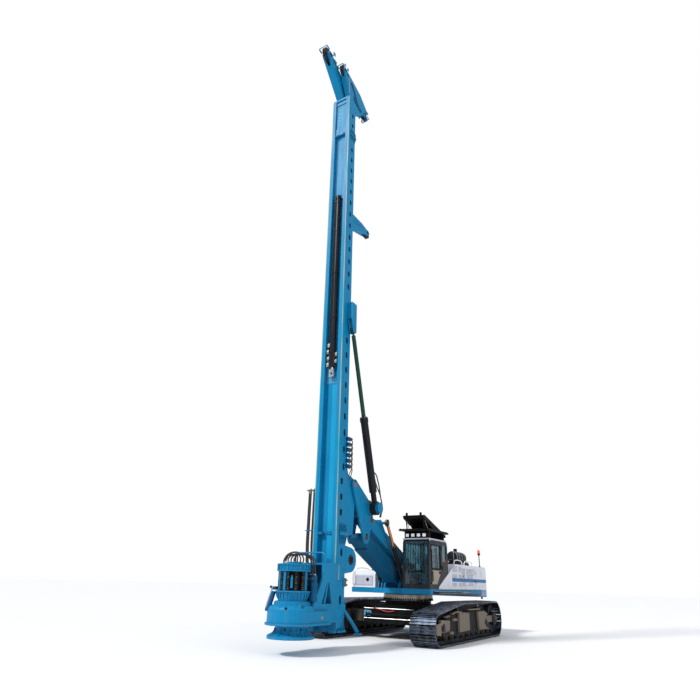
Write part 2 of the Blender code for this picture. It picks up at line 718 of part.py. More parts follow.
def cab(rig, paints):
    """Operator's cab: hollow body with windows, its door and its seat."""
    low = DECK_HIGH + GAP
    side = [(CAB_REAR, low), (CAB_FRONT + 0.05, low), (CAB_FRONT + 0.05, 1.95),
            (CAB_FRONT - 0.03, CAB_ROOF - 0.10), (CAB_FRONT - 0.13, CAB_ROOF),
            (CAB_REAR + 0.10, CAB_ROOF), (CAB_REAR, CAB_ROOF - 0.10)]
    shell = plate("XZ", [side], CAB_INNER, CAB_OUTER)
    wall = CAB_WALL
    room = [(CAB_REAR + wall, low + wall), (CAB_FRONT + 0.05 - wall, low + wall),
            (CAB_FRONT + 0.05 - wall, 1.95), (CAB_FRONT - 0.03 - wall, CAB_ROOF - 0.12),
            (CAB_FRONT - 0.15, CAB_ROOF - wall), (CAB_REAR + 0.12, CAB_ROOF - wall),
            (CAB_REAR + wall, CAB_ROOF - 0.12)]
    hollow = plate("XZ", [room], CAB_INNER + wall, CAB_OUTER - wall)
    pivot = (DOOR_REAR, CAB_OUTER + HINGE_OUT)
    brackets, fittings, cut = [], [], []
    for level in CAB_HINGES:
        brackets += hinge_bracket(pivot, 1, level)
        knuckle, hole = hinge_knuckle(pivot, 1, level)
        fittings += knuckle
        cut.append(hole)
    body = weld(shell, cut=[hollow, *cab_windows()])
    rig.add("cab_body", weld(body, brackets), paints["cab"])

    leaf = plate("XZ", [door_outline(CLEAR)], CAB_OUTER - wall, CAB_OUTER)
    window = [(DOOR_FRONT - 0.10, 2.16), (DOOR_REAR + 0.10, 2.16), (DOOR_REAR + 0.10, 2.88),
              (DOOR_FRONT - 0.10, 2.88)]
    pane = plate("XZ", [window], CAB_OUTER - 0.1, CAB_OUTER + 0.1)
    rig.add("cab_door", weld(leaf, fittings, [pane, *cut]), paints["cab"],
            (*pivot, CAB_HINGES[0]))

    middle = (CAB_INNER + CAB_OUTER) / 2
    base = box((0.40, middle - 0.20, low + wall + GAP), (0.80, middle + 0.20, 1.86))
    cushion = box((0.36, middle - 0.25, 1.85), (0.90, middle + 0.25, 1.99))
    back_view = [(0.30, 1.95), (0.44, 1.95), (0.32, 2.66), (0.20, 2.66)]
    back = plate("XZ", [back_view], middle - 0.23, middle + 0.23)
    rig.add("operator_seat", weld(base, [cushion, back]), paints["seat"])


def roof_guard(rig, paints):
    """Guard plate above the cab with its raised front hatch, on a light bar."""
    low = CAB_ROOF + GAP
    bar_front = box((CAB_FRONT - 0.20, CAB_INNER + 0.02, low), (CAB_FRONT - 0.14, CAB_OUTER - 0.02, 3.32))
    bar_rear = box((CAB_REAR + 0.20, CAB_INNER + 0.02, low), (CAB_REAR + 0.26, CAB_OUTER - 0.02, 3.32))
    sheet = box((CAB_REAR - 0.05, CAB_INNER - 0.04, 3.31), (CAB_FRONT + 0.22, CAB_OUTER + 0.06, 3.35))
    hatch_view = [(0.35, 3.34), (0.75, 3.34), (1.78, 3.70), (1.83, 3.80), (1.70, 3.82), (0.30, 3.42)]
    hatch = plate("XZ", [hatch_view], CAB_INNER + 0.10, CAB_OUTER - 0.10)
    stays = [bar((1.62, y, 3.34), (1.70, y, 3.72), 0.02, sides=8)
             for y in (CAB_INNER + 0.16, CAB_OUTER - 0.16)]
    rig.add("roof_guard", weld(sheet, [bar_front, bar_rear, hatch, *stays]), paints["dark"])


def deck_boxes(rig, paints):
    """Tank at the right front and the air cleaner group on the hood."""
    rear = HOOD_FRONT_LOW + 0.02
    tank_view = [(rear, DECK_HIGH + GAP), (DECK_FRONT_RIGHT, DECK_HIGH + GAP),
                 (DECK_FRONT_RIGHT, 1.95), (DECK_FRONT_RIGHT - 0.12, 2.08), (rear, 2.08)]
    rig.add("fuel_tank", plate("XZ", [tank_view], -HOUSE_HALF_WIDTH + 0.04, -0.66), paints["white"])
    top = HOOD_TOP + GAP
    base = box((-3.00, 0.72, top), (-1.85, 1.28, top + 0.12))
    cleaner = bar((-2.95, 1.00, top + 0.30), (-1.90, 1.00, top + 0.30), 0.21)
    inlet = bar((-2.30, 1.00, top + 0.40), (-2.30, 1.00, top + 0.62), 0.07, sides=16)
    elbow = tube([(-2.90, 1.00, top + 0.30), (-3.10, 1.00, top + 0.36), (-3.22, 1.00, top + 0.26),
                  (-3.32, 1.00, top + 0.10)], 0.06)
    rig.add("air_cleaner", weld(base, [cleaner, inlet, elbow]), paints["dark"], smooth=True)


# ---------------------------------------------------------------- linkage
def link_foot():
    """The upper link's foot, which makes the linkage a parallelogram."""
    return (LINK_HEAD[0] - BOOM_HEAD[0] + BOOM_FOOT[0], LINK_HEAD[1] - BOOM_HEAD[1] + BOOM_FOOT[1])


def at(point, y=0.0):
    """An (X, Z) point as a place in the machine's frame."""
    return (point[0], y, point[1])


def boom_and_link(rig, paints):
    """The lower boom and the upper link of the parallelogram."""
    outline = arm_outline(BOOM_FOOT, BOOM_HEAD, (0.16, 0.16), 0.225)
    holes = [hole_loop(BOOM_FOOT, PIN_RADIUS), hole_loop(BOOM_HEAD, PIN_RADIUS)]
    boom = plate("XZ", [outline, *holes], -BOOM_HALF_WIDTH, BOOM_HALF_WIDTH)
    rig.add("boom", boom, paints["blue"], at(BOOM_FOOT))

    foot = link_foot()
    outline = arm_outline(foot, LINK_HEAD, (0.15, 0.14), 0.20)
    holes = [hole_loop(foot, PIN_RADIUS), hole_loop(LINK_HEAD, PIN_RADIUS)]
    link = plate("XZ", [outline, *holes], -LINK_HALF_WIDTH, LINK_HALF_WIDTH)
    lug = [between(foot, LINK_HEAD, 0.52, 0.15), between(foot, LINK_HEAD, 0.84, 0.15)]
    lug += arc(LUFF_EYE, 0.11, -20, 160, 8)
    carrier = plate("XZ", [lug], 0.03 - LINK_HALF_WIDTH, LINK_HALF_WIDTH - 0.03)
    pins = pin(LUFF_EYE, -LUFF_Y - 0.06, LUFF_Y + 0.06, 0.045)
    rig.add("upper_link", weld(link, [carrier, pins]), paints["blue"], at(foot))


def cylinder_pair(rig, name, foot, eye, y, sizes, paints):
    """Barrel on its foot pin, and rod whose open eye stands round the far pin."""
    barrel_radius, rod_radius, pin_radius, barrel_share, half = sizes
    stop = between(foot, eye, barrel_share)
    collar = (between(foot, eye, barrel_share - 0.05), between(foot, eye, barrel_share - 0.01))
    tail = between(foot, eye, 0.07)
    inside = between(foot, eye, 0.12)
    body = bar(at(tail, y), at(stop, y), barrel_radius)
    gland = bar(at(collar[0], y), at(collar[1], y), barrel_radius + 0.012)
    ear = plate("XZ", [circle(foot, pin_radius + 0.045)], y - half, y + half)
    heel = bar(at(between(foot, eye, 0.025), y), at(between(foot, eye, 0.085), y), half - 0.005)
    hollow = bar(at(inside, y), at(between(foot, eye, barrel_share + 0.05), y),
                 rod_radius + GAP)
    hole = plate("XZ", [hole_loop(foot, pin_radius)], y - half - 0.05, y + half + 0.05)
    barrel = weld(body, [gland, heel, ear], [hollow, hole])
    rig.add(name + "_barrel", barrel, paints["barrel"], at(foot, y), True)

    rod_start = between(foot, eye, 0.16)
    rod_end = between(foot, eye, 1.0)
    rod = bar(at(rod_start, y), at(rod_end, y), rod_radius)
    eye_ring = plate("XZ", [circle(eye, pin_radius + EYE_SLACK + 0.045)], y - half, y + half)
    gap = pin(eye, y - half - 0.05, y + half + 0.05, pin_radius + EYE_SLACK)
    rig.add(name + "_rod", weld(rod, [eye_ring], [gap]), paints["rod"], at(foot, y), True)


def rocker(rig, paints):
    """Triangular plates that hold boom, link, mast pivot and the drum of the backstays."""
    inner = SIDE_PLATE_INNER
    outer = inner + SIDE_PLATE
    side_view = arc(BOOM_HEAD, 0.17, 190, 330, 7)
    side_view += arc(MAST_PIVOT, 0.17, -20, 110, 7)
    side_view += arc(DRUM, 0.26, 75, 200, 7)
    base = None
    added = []
    for sign in (-1, 1):
        wall = plate("XZ", [side_view], *sorted((sign * inner, sign * outer)))
        if base is None:
            base = wall
        else:
            added.append(wall)
    reach = outer - OVERLAP
    added.append(pin(DRUM, -DRUM_REACH, DRUM_REACH, DRUM_RADIUS, DRUM_SIDES))
    added.append(pin(BOOM_HEAD, -reach, reach, PIN_RADIUS))
    added.append(pin(LINK_HEAD, -reach, reach, PIN_RADIUS))
    added.append(pin(MAST_PIVOT, -reach, reach, PIN_RADIUS))
    rig.add("rocker", weld(base, added), paints["blue"], at(BOOM_HEAD))


def backstays(rig, paints):
    """Two mast cylinders whose feet turn on the rocker's drum."""
    for sign, name in ((1, "left"), (-1, "right")):
        y = sign * STAY_Y
        foot, eye = DRUM, STAY_EYE
        collar_radius = 0.215
        stop = between(foot, eye, 0.50)
        body = bar(at(between(foot, eye, 0.085), y), at(stop, y), 0.125)
        gland = bar(at(between(foot, eye, 0.47), y), at(between(foot, eye, 0.495), y), 0.14)
        ring = plate("XZ", [circle(foot, collar_radius)], y - 0.09, y + 0.09)
        neck = bar(at(between(foot, eye, 0.03), y), at(between(foot, eye, 0.10), y), 0.09)
        hollow = bar(at(between(foot, eye, 0.14), y), at(between(foot, eye, 0.55), y), 0.07 + GAP)
        hole = plate("XZ", [hole_loop(foot, DRUM_RADIUS, DRUM_SIDES)], y - 0.2, y + 0.2)
        barrel = weld(body, [gland, neck, ring], [hollow, hole])
        rig.add(name + "_backstay_barrel", barrel, paints["barrel"], at(foot, y), True)

        rod = bar(at(between(foot, eye, 0.18), y), at(between(foot, eye, 0.972), y), 0.07)
        shank = bar(at(between(foot, eye, 0.965), y), at(between(foot, eye, 0.987), y), 0.035)
        ring = plate("XZ", [circle(eye, 0.045 + EYE_SLACK + 0.045)], y - 0.04, y + 0.04)
        gap = pin(eye, y - 0.1, y + 0.1, 0.045 + EYE_SLACK)
        rig.add(name + "_backstay_rod", weld(rod, [shank, ring], [gap]), paints["sheath"], at(foot, y), True)


# ---------------------------------------------------------------- mast
def mast_plan():
    """Cross-section of the mast box with its front rails and open channel."""
    front, rear = MAST_FRONT, MAST_REAR
    half, body, mouth = MAST_HALF, BODY_HALF, CHANNEL_HALF_WIDTH
    right = [(rear, -body), (front - RAIL_DEPTH, -body), (front - RAIL_DEPTH, -half),
             (front, -half), (front, -mouth), (front - CHANNEL_DEPTH, -mouth)]
    left = [(x, -y) for x, y in reversed(right)]
    inner_x = (rear + MAST_WALL, front - CHANNEL_DEPTH - MAST_WALL)
    inner_y = body - MAST_WALL
    hollow = [(inner_x[0], -inner_y), (inner_x[0], inner_y), (inner_x[1], inner_y),
              (inner_x[1], -inner_y)]
    return [right + left, hollow]


def joint_plate(low, high):
    """Bolted flange round the mast box, behind the carriage's rails."""
    flange_rear = MAST_REAR - 0.04
    flange_front = MAST_FRONT - RAIL_DEPTH - 0.06
    side = BODY_HALF + 0.04
    ring = [(flange_rear, -side), (flange_front, -side), (flange_front, side), (flange_rear, side)]
    return plate("XY", [ring, mast_plan()[1]], low, high)


def side_holes(low, high):
    """Row of upright slots through both sides of the mast."""
    count = int((high - low) / HOLE_PITCH)
    cutters = []
    for i in range(count):
        centre = (MAST_REAR + 0.20, low + HOLE_PITCH * (i + 0.5))
        cutters.append(plate("XZ", [slot(centre, HOLE_WIDTH, HOLE_HEIGHT)], -0.6, 0.6))
    return joined(cutters)


def mast_lower(rig, paints):
    """Foot section, with the foot plate and the winch's side plates."""
    base = plate("XY", mast_plan(), MAST_FOOT, MAST_JOINT_LOW - GAP)
    sole = box((MAST_REAR - 0.06, -0.42, MAST_FOOT), (MAST_FRONT - RAIL_DEPTH - 0.06, 0.42,
                                                     MAST_FOOT + 0.05))
    flange = joint_plate(MAST_JOINT_LOW - 0.05, MAST_JOINT_LOW - GAP)
    added = [sole, flange]
    side_view = arc(WINCH, 0.34, 100, 260, 8)
    side_view += [(MAST_REAR + OVERLAP, WINCH[1] - 0.38), (MAST_REAR + OVERLAP, WINCH[1] + 0.38)]
    for sign in (-1, 1):
        y = sorted((sign * WINCH_HALF_WIDTH, sign * (WINCH_HALF_WIDTH - 0.04)))
        added.append(plate("XZ", [side_view], *y))
    cut = [side_holes(0.95, 1.55), side_holes(2.18, 2.75)]
    added.append(pin(WINCH, -WINCH_HALF_WIDTH + 0.01, WINCH_HALF_WIDTH - 0.01, 0.06))
    rig.add("mast_lower", weld(base, added, cut), paints["blue"], at(MAST_PIVOT))


def winch_drum(rig, paints):
    """Grooved drum between the side plates on the mast's rear."""
    half = WINCH_HALF_WIDTH - 0.04 - CLEAR
    rim = 0.26
    profile = [(bore(0.06), -half), (bore(0.06), half), (rim, half), (rim, half - 0.03),
               (0.19, half - 0.03), (0.19, 0.03 - half), (rim, 0.03 - half), (rim, -half)]
    drum = turned(profile, at(WINCH), "Y")
    rig.add("winch_drum", drum, paints["dark"], at(WINCH), True)


def mast_main(rig, paints):
    """Long middle section with cylinder brackets, backstay brackets and pivot cradle."""
    base = plate("XY", mast_plan(), MAST_JOINT_LOW, MAST_JOINT_HIGH - GAP)
    added = [joint_plate(MAST_JOINT_LOW, MAST_JOINT_LOW + 0.05),
             joint_plate(MAST_JOINT_HIGH - 0.05, MAST_JOINT_HIGH - GAP)]
    cut = [side_holes(4.62, 9.6), side_holes(10.95, 18.0)]
    floor = MAST_FRONT - CHANNEL_DEPTH
    for z in (CROWD_LOW + 0.20, CROWD_TOP - 0.35):
        added.append(box((floor - OVERLAP, -0.16, z), (CROWD_X - CROWD_RADIUS - GAP, 0.16, z + 0.12)))
    for sign in (-1, 1):
        for near, far in ((STAY_Y - 0.085, STAY_Y - 0.055), (STAY_Y + 0.055, STAY_Y + 0.085)):
            ear = [(MAST_REAR - 0.06, 10.55), (MAST_REAR - 0.06, STAY_EYE[1] + 0.1)]
            ear += arc(STAY_EYE, 0.10, 180, 360, 8)
            ear += [(STAY_EYE[0] + 0.2, 9.9), (STAY_EYE[0] + 0.2, 10.55)]
            added.append(plate("XZ", [ear], *sorted((sign * near, sign * far))))
        hub = sorted((sign * (BODY_HALF - OVERLAP), sign * (STAY_Y + 0.085)))
        added.append(box((MAST_REAR - 0.06, hub[0], 9.95), (STAY_EYE[0] + 0.2, hub[1], 10.55)))
        added.append(pin(STAY_EYE, *sorted((sign * (STAY_Y - 0.08), sign * (STAY_Y + 0.08))), 0.045))
    cradle = [(MAST_REAR + OVERLAP, 4.75), (4.50, 4.72)]
    cradle += arc(MAST_PIVOT, 0.17, 110, 200, 6)
    cradle += [(4.34, 2.98), (MAST_REAR + OVERLAP, 2.98)]
    half = SIDE_PLATE_INNER - 0.015
    added.append(plate("XZ", [cradle, hole_loop(MAST_PIVOT, PIN_RADIUS)], -half, half))
    arm = [(MAST_REAR + OVERLAP, GUIDE_ARM_Z - 0.30), (MAST_REAR + OVERLAP, GUIDE_ARM_Z + 0.42)]
    arm += [(GUIDE_SHEAVE[0] + 0.5, GUIDE_SHEAVE[1] + 0.16)]
    arm += arc(GUIDE_SHEAVE, 0.12, 60, 240, 7)
    fork = box((GUIDE_SHEAVE[0] - 0.3, -0.045, GUIDE_SHEAVE[1] - 0.4),
               (GUIDE_SHEAVE[0] + 0.30, 0.045, GUIDE_SHEAVE[1] + 0.4))
    added.append(weld(weld(plate("XZ", [arm], -0.11, 0.11), cut=[fork]),
                      [pin(GUIDE_SHEAVE, -0.09, 0.09, 0.04)]))
    rig.add("mast_main", weld(base, added, cut), paints["blue"], at(MAST_PIVOT))


def sheave(rig, name, centre, y, radius, half, hub, paints):
    """A rope wheel with a groove, turning on its pin."""
    profile = [(bore(hub), -half), (bore(hub), half), (radius * 0.80, half * 0.5),
               (radius, half), (radius - half * 1.1, 0.0), (radius, -half),
               (radius * 0.80, -half * 0.5)]
    rig.add(name, turned(profile, at(centre, y), "Y", SIDES), paints["iron"], at(centre, y), True)


def crowd_cylinder(rig, paints):
    """Crowd cylinder in the mast's channel, with its rod drawn in."""
    body = bar((CROWD_X, 0, CROWD_LOW), (CROWD_X, 0, CROWD_TOP), CROWD_RADIUS)
    top = box((CROWD_X - 0.05, -0.08, CROWD_TOP - OVERLAP), (CROWD_X + 0.05, 0.08, CROWD_TOP + 0.16))
    hollow = bar((CROWD_X, 0, CROWD_LOW - 0.05), (CROWD_X, 0, CROWD_TOP - 0.2), 0.055 + GAP)
    barrel = weld(body, [top], [hollow])
    rig.add("crowd_barrel", barrel, paints["barrel"], at(MAST_PIVOT), True)
    rod = bar((CROWD_X, 0, CROWD_LOW - 0.10), (CROWD_X, 0, CROWD_TOP - 0.3), 0.055)
    eye = box((CROWD_X - 0.05, -0.09, CROWD_LOW - 0.34), (CROWD_X + 0.05, 0.09, CROWD_LOW - 0.08))
    hole = bar((CROWD_X - 0.1, 0, CROWD_LOW - 0.23), (CROWD_X + 0.1, 0, CROWD_LOW - 0.23), 0.04,
               sides=16)
    rig.add("crowd_rod", weld(rod, [eye], [hole]), paints["rod"], (CROWD_X, 0, CROWD_LOW), True)


def mast_top(rig, paints):
    """Upper section between the two cross plates."""
    base = plate("XY", mast_plan(), MAST_JOINT_HIGH, MAST_TOP)
    panel = box((MAST_FRONT - CHANNEL_DEPTH - OVERLAP, -CHANNEL_HALF_WIDTH - OVERLAP,
                 MAST_JOINT_HIGH), (MAST_FRONT - 0.05, CHANNEL_HALF_WIDTH + OVERLAP, MAST_TOP))
    recess = box((MAST_FRONT - 0.09, -0.24, MAST_JOINT_HIGH + 0.38), (MAST_FRONT + 0.1, 0.24,
                                                                     MAST_TOP - 0.24))
    low = joint_plate(MAST_JOINT_HIGH, MAST_JOINT_HIGH + 0.05)
    cap = box((MAST_REAR, -BODY_HALF, MAST_TOP - 0.04), (MAST_FRONT, BODY_HALF, MAST_TOP))
    rig.add("mast_top", weld(base, [panel, low, cap], [recess, side_holes(18.62, 19.8)]),
            paints["blue"], at(MAST_PIVOT))


def mast_head(rig, paints):
    """Rope head: two forward arms and a rear arm, each forked round its sheave."""
    low = MAST_TOP + GAP
    base = box((MAST_REAR, -BODY_HALF, low), (MAST_FRONT, BODY_HALF, low + 0.05))
    main = [(MAST_FRONT - 0.02, low + 0.01)]
    main += arc(MAIN_TIP, 0.17, -55, 125, 8)
    main += [(5.25, 20.75), (4.98, 20.75), (4.98, low + 0.01)]
    main_arm = plate("XZ", [main], MAIN_Y - 0.17, MAIN_Y + 0.15)
    aux = [(5.45, low + 0.01)]
    aux += arc(AUX_TIP, 0.12, -45, 115, 7)
    aux += [(4.62, 21.22), (4.02, 20.80)]
    aux += arc(REAR_TIP, 0.13, 130, 290, 7)
    aux += [(4.70, 20.02), (MAST_REAR - CLEAR, 19.80), (MAST_REAR - CLEAR, low + 0.01)]
    aux_arm = plate("XZ", [aux], AUX_Y - 0.11, AUX_Y + 0.11)
    spread = MAIN_RADIUS + 0.05
    main_fork = box((MAIN_TIP[0] - spread, MAIN_Y - 0.055, MAIN_TIP[1] - spread),
                    (MAIN_TIP[0] + spread, MAIN_Y + 0.055, MAIN_TIP[1] + spread))
    small = AUX_RADIUS + 0.04
    aux_fork = box((AUX_TIP[0] - small, AUX_Y - 0.045, AUX_TIP[1] - small),
                   (AUX_TIP[0] + small, AUX_Y + 0.045, AUX_TIP[1] + small))
    rear_fork = box((REAR_TIP[0] - small, AUX_Y - 0.045, REAR_TIP[1] - small),
                    (REAR_TIP[0] + small, AUX_Y + 0.045, REAR_TIP[1] + small))
    arms = weld(base, [main_arm, aux_arm], [main_fork, aux_fork, rear_fork])
    added = [pin(MAIN_TIP, MAIN_Y - 0.16, MAIN_Y + 0.14, 0.05),
             pin(AUX_TIP, AUX_Y - 0.10, AUX_Y + 0.10, 0.04),
             pin(REAR_TIP, AUX_Y - 0.10, AUX_Y + 0.10, 0.04),
             pin((5.72, 21.02), MAIN_Y + 0.1, AUX_Y - 0.09, 0.05, 12)]
    rig.add("mast_head", weld(arms, added), paints["blue"], at(MAST_PIVOT))
    sheave(rig, "main_sheave", MAIN_TIP, MAIN_Y, MAIN_RADIUS, 0.05, 0.05, paints)
    sheave(rig, "aux_sheave", AUX_TIP, AUX_Y, AUX_RADIUS, 0.04, 0.04, paints)
    sheave(rig, "rear_sheave", REAR_TIP, AUX_Y, REAR_RADIUS, 0.04, 0.04, paints)
    sheave(rig, "guide_sheave", GUIDE_SHEAVE, 0.0, 0.22, 0.04, 0.04, paints)


# ---------------------------------------------------------------- rotary drive
def guide_shoe(sign, low, high):
    """Channel that hooks round one of the mast's front rails."""
    slide = SHOE_SLIDE
    rail_back = MAST_FRONT - RAIL_DEPTH
    front = MAST_FRONT + 0.07
    rear = rail_back - 0.05
    outer = GUSSET_Y + GUSSET_THICK - OVERLAP
    hook = BODY_HALF + slide
    rail = MAST_HALF + slide
    plan = [(front, rail), (front, outer), (rear, outer), (rear, hook),
            (rail_back - slide, hook), (rail_back - slide, rail)]
    return plate("XY", [[(x, sign * y) for x, y in plan]], low, high)


def carriage(rig, paints):
    """Sledge on the mast's rails that carries the drive between two gusset plates."""
    back = MAST_FRONT + 0.045
    outer = GUSSET_Y + GUSSET_THICK
    low = SHROUD_LOW + 0.03
    view = [(back, low), (6.05, low), (6.05, SHROUD_HIGH + GAP), (6.74, SHROUD_HIGH + GAP),
            (6.74, 1.06), (6.30, 1.76), (6.30, CARRIAGE_TOP), (back, CARRIAGE_TOP)]
    window = [(5.86, 1.14), (6.34, 1.14), (6.12, 1.62), (6.00, 1.66)]
    inner = GUSSET_Y + GUSSET_THICK / 2
    base = box((back + 0.001, -inner, low + OVERLAP), (back + 0.05, inner, CARRIAGE_TOP - OVERLAP))
    added = []
    for sign in (-1, 1):
        y = sorted((sign * GUSSET_Y, sign * outer))
        added.append(plate("XZ", [view, window], *y))
        added.append(guide_shoe(sign, 0.55, 1.00))
        added.append(guide_shoe(sign, 1.72, CARRIAGE_TOP - 0.02))
    added.append(box((back + 0.02, -inner, CARRIAGE_TOP - 0.05), (6.29, inner, CARRIAGE_TOP - 0.003)))
    cut = [bar((DRIVE_X, 0, 1.0), (DRIVE_X, 0, 3.0), CAGE_RADIUS + 0.03, sides=32)]
    rig.add("carriage", weld(base, added, cut), paints["blue"], (DRIVE_X, 0, SHROUD_LOW))


def drive_housing(rig, paints):
    """Gear case with its shroud, cone, spring cage and top ring."""
    def case(radius, back):
        return ([(back, -radius)] + arc((DRIVE_X, 0), radius, -90, 90, 14) + [(back, radius)])

    seat = 6.05 + CLEAR
    inner = GUSSET_Y - CLEAR
    shroud = plate("XY", [case(SHROUD_RADIUS, seat)], SHROUD_LOW, SHROUD_HIGH)
    lip = plate("XY", [case(SHROUD_LIP, seat)], SHROUD_LOW, SHROUD_LOW + 0.05)
    tongue = box((MAST_FRONT + 0.095 + GAP, -inner, SHROUD_LOW + 0.04), (seat + 0.2, inner,
                                                                       SHROUD_HIGH))
    added = [lip, tongue]
    added.append(bar((DRIVE_X, 0, SHROUD_HIGH - OVERLAP), (DRIVE_X, 0, CONE_LOW), 0.46, 0.43, 28))
    added.append(bar((DRIVE_X, 0, CONE_LOW - OVERLAP), (DRIVE_X, 0, CAGE_LOW - 0.04), 0.36, 0.42,
                     28))
    added.append(bar((DRIVE_X, 0, CAGE_LOW - 0.05), (DRIVE_X, 0, CAGE_LOW), 0.435, sides=28))
    added.append(bar((DRIVE_X, 0, CAGE_LOW - OVERLAP), (DRIVE_X, 0, CAGE_HIGH + OVERLAP), 0.28,
                     sides=28))
    added.append(bar((DRIVE_X, 0, CAGE_HIGH), (DRIVE_X, 0, DRIVE_TOP), CAGE_RADIUS, sides=28))
    for i in range(SPRING_COUNT):
        angle = 2 * math.pi * (i + 0.5) / SPRING_COUNT
        x = DRIVE_X + 0.36 * math.cos(angle)
        y = 0.36 * math.sin(angle)
        added.append(bar((x, y, CAGE_LOW - OVERLAP), (x, y, CAGE_HIGH + OVERLAP), SPRING_RADIUS,
                         sides=6))
    cut = [plate("XY", [hole_loop((DRIVE_X, 0), DRIVE_TUBE_RADIUS)], SHROUD_LOW - 0.1,
                 DRIVE_TOP + 0.1)]
    housing = weld(shroud, added, cut)
    rig.add("drive_housing", housing, paints["blue"], (DRIVE_X, 0, SHROUD_LOW))


def drive_sleeve(rig, paints):
    """Turning drive tube with the flange that drives a casing."""
    top = SHROUD_LOW - GAP
    flange = DISC_LOW + DISC_THICK
    profile = [(KELLY_RADIUS, DISC_LOW), (DISC_RADIUS, DISC_LOW), (DISC_RADIUS, flange),
               (SLEEVE_RADIUS, flange), (SLEEVE_RADIUS, top), (DRIVE_TUBE_RADIUS, top),
               (DRIVE_TUBE_RADIUS, DRIVE_TOP + 0.05), (KELLY_RADIUS, DRIVE_TOP + 0.05)]
    sleeve = turned(profile, (DRIVE_X, 0, 0), "Z", SIDES)
    added = []
    ribs = 10
    for i in range(ribs):
        rib = plate("XZ", [[(SLEEVE_RADIUS - 0.02, flange - OVERLAP), (DISC_RADIUS - 0.05,
                                                                       flange - OVERLAP),
                            (SLEEVE_RADIUS - 0.02, top - 0.05)]], -0.012, 0.012)
        turn = Matrix.Translation((DRIVE_X, 0, 0)) @ Matrix.Rotation(2 * math.pi * i / ribs, 4, "Z")
        rib.data.transform(turn)
        added.append(rib)
    rig.add("drive_sleeve", weld(sleeve, added), paints["blue"], (DRIVE_X, 0, DISC_LOW))


def guard_rail(rig, paints):
    """Bent tube above the drive, standing on the carriage's top."""
    x = 6.20
    half = 0.50
    low = CARRIAGE_TOP + GAP
    run = [(x, -half, low), (x, -half, 2.28), (x, -half + 0.04, 2.35), (x, -half + 0.12, 2.385),
           (x, half - 0.12, 2.385), (x, half - 0.04, 2.35), (x, half, 2.28), (x, half, low)]
    rig.add("guard_rail", tube(run, 0.022), paints["blue"], (DRIVE_X, 0, SHROUD_LOW), True)


def main():
    """Clear the scene and build every sub-part."""
    for old in list(bpy.data.objects):
        bpy.data.objects.remove(old)
    paints = {
        "blue": material("blue_enamel", (0.010, 0.195, 0.445), 0.35),
        "white": material("white_enamel", (0.68, 0.69, 0.74), 0.35),
        "cab": material("cab_enamel", (0.060, 0.060, 0.065), 0.4),
        "dark": material("dark_steel", (0.018, 0.020, 0.026), 0.55),
        "shoe": material("track_steel", (0.022, 0.028, 0.042), 0.5, 0.6),
        "frame": material("frame_enamel", (0.16, 0.13, 0.105), 0.5),
        "iron": material("cast_iron", (0.05, 0.05, 0.055), 0.6, 0.5),
        "steel": material("bare_steel", (0.42, 0.40, 0.37), 0.4, 0.9),
        "barrel": material("black_barrel", (0.014, 0.015, 0.018), 0.3),
        "rod": material("chromed_rod", (0.55, 0.56, 0.58), 0.15, 1.0),
        "sheath": material("green_sheath", (0.009, 0.056, 0.044), 0.5),
        "seat": material("seat_cloth", (0.03, 0.03, 0.035), 0.8),
    }
    rig = Rig()
    car_body(rig, paints)
    slew_ring(rig, paints)
    track_parts(rig, 1, "left", paints)
    track_parts(rig, -1, "right", paints)
    house_frame(rig, paints)
    counterweight(rig, paints)
    engine_hood(rig, paints)
    engine_block(rig, paints)
    cab(rig, paints)
    roof_guard(rig, paints)
    deck_boxes(rig, paints)
    boom_and_link(rig, paints)
    for sign, name in ((1, "left"), (-1, "right")):
        cylinder_pair(rig, name + "_luff", LUFF_FOOT, LUFF_EYE, sign * LUFF_Y,
                      (0.085, 0.05, 0.045, 0.62, 0.04), paints)
    rocker(rig, paints)
    backstays(rig, paints)
    mast_lower(rig, paints)
    winch_drum(rig, paints)
    mast_main(rig, paints)
    crowd_cylinder(rig, paints)
    mast_top(rig, paints)
    mast_head(rig, paints)
    carriage(rig, paints)
    drive_housing(rig, paints)
    drive_sleeve(rig, paints)
    guard_rail(rig, paints)


main()
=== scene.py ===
"""Looks of a rotary piling rig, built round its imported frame. Metres, +Z up, +X to the mast."""
import math

import bpy
from mathutils import Matrix, Vector


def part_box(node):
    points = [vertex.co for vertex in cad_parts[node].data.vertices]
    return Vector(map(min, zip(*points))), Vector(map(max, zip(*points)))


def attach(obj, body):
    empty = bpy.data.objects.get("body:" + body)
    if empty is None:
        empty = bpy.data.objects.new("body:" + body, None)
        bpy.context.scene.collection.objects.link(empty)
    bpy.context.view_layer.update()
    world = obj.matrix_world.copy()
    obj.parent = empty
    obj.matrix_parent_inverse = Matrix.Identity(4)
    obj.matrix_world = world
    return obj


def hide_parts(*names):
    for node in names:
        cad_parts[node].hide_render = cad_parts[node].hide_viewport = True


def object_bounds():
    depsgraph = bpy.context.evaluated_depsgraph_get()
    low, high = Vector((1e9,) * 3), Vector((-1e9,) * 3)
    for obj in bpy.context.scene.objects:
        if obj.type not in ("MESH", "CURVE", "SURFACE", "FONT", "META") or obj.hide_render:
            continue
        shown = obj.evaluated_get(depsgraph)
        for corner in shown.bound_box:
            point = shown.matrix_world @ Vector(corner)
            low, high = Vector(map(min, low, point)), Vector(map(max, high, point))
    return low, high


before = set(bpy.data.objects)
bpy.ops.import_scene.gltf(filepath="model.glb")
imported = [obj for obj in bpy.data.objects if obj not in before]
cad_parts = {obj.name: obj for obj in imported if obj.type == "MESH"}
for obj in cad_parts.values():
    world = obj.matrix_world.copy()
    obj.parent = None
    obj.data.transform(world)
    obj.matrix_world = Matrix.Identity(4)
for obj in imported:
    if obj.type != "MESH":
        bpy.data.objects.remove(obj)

CAD_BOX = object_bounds()

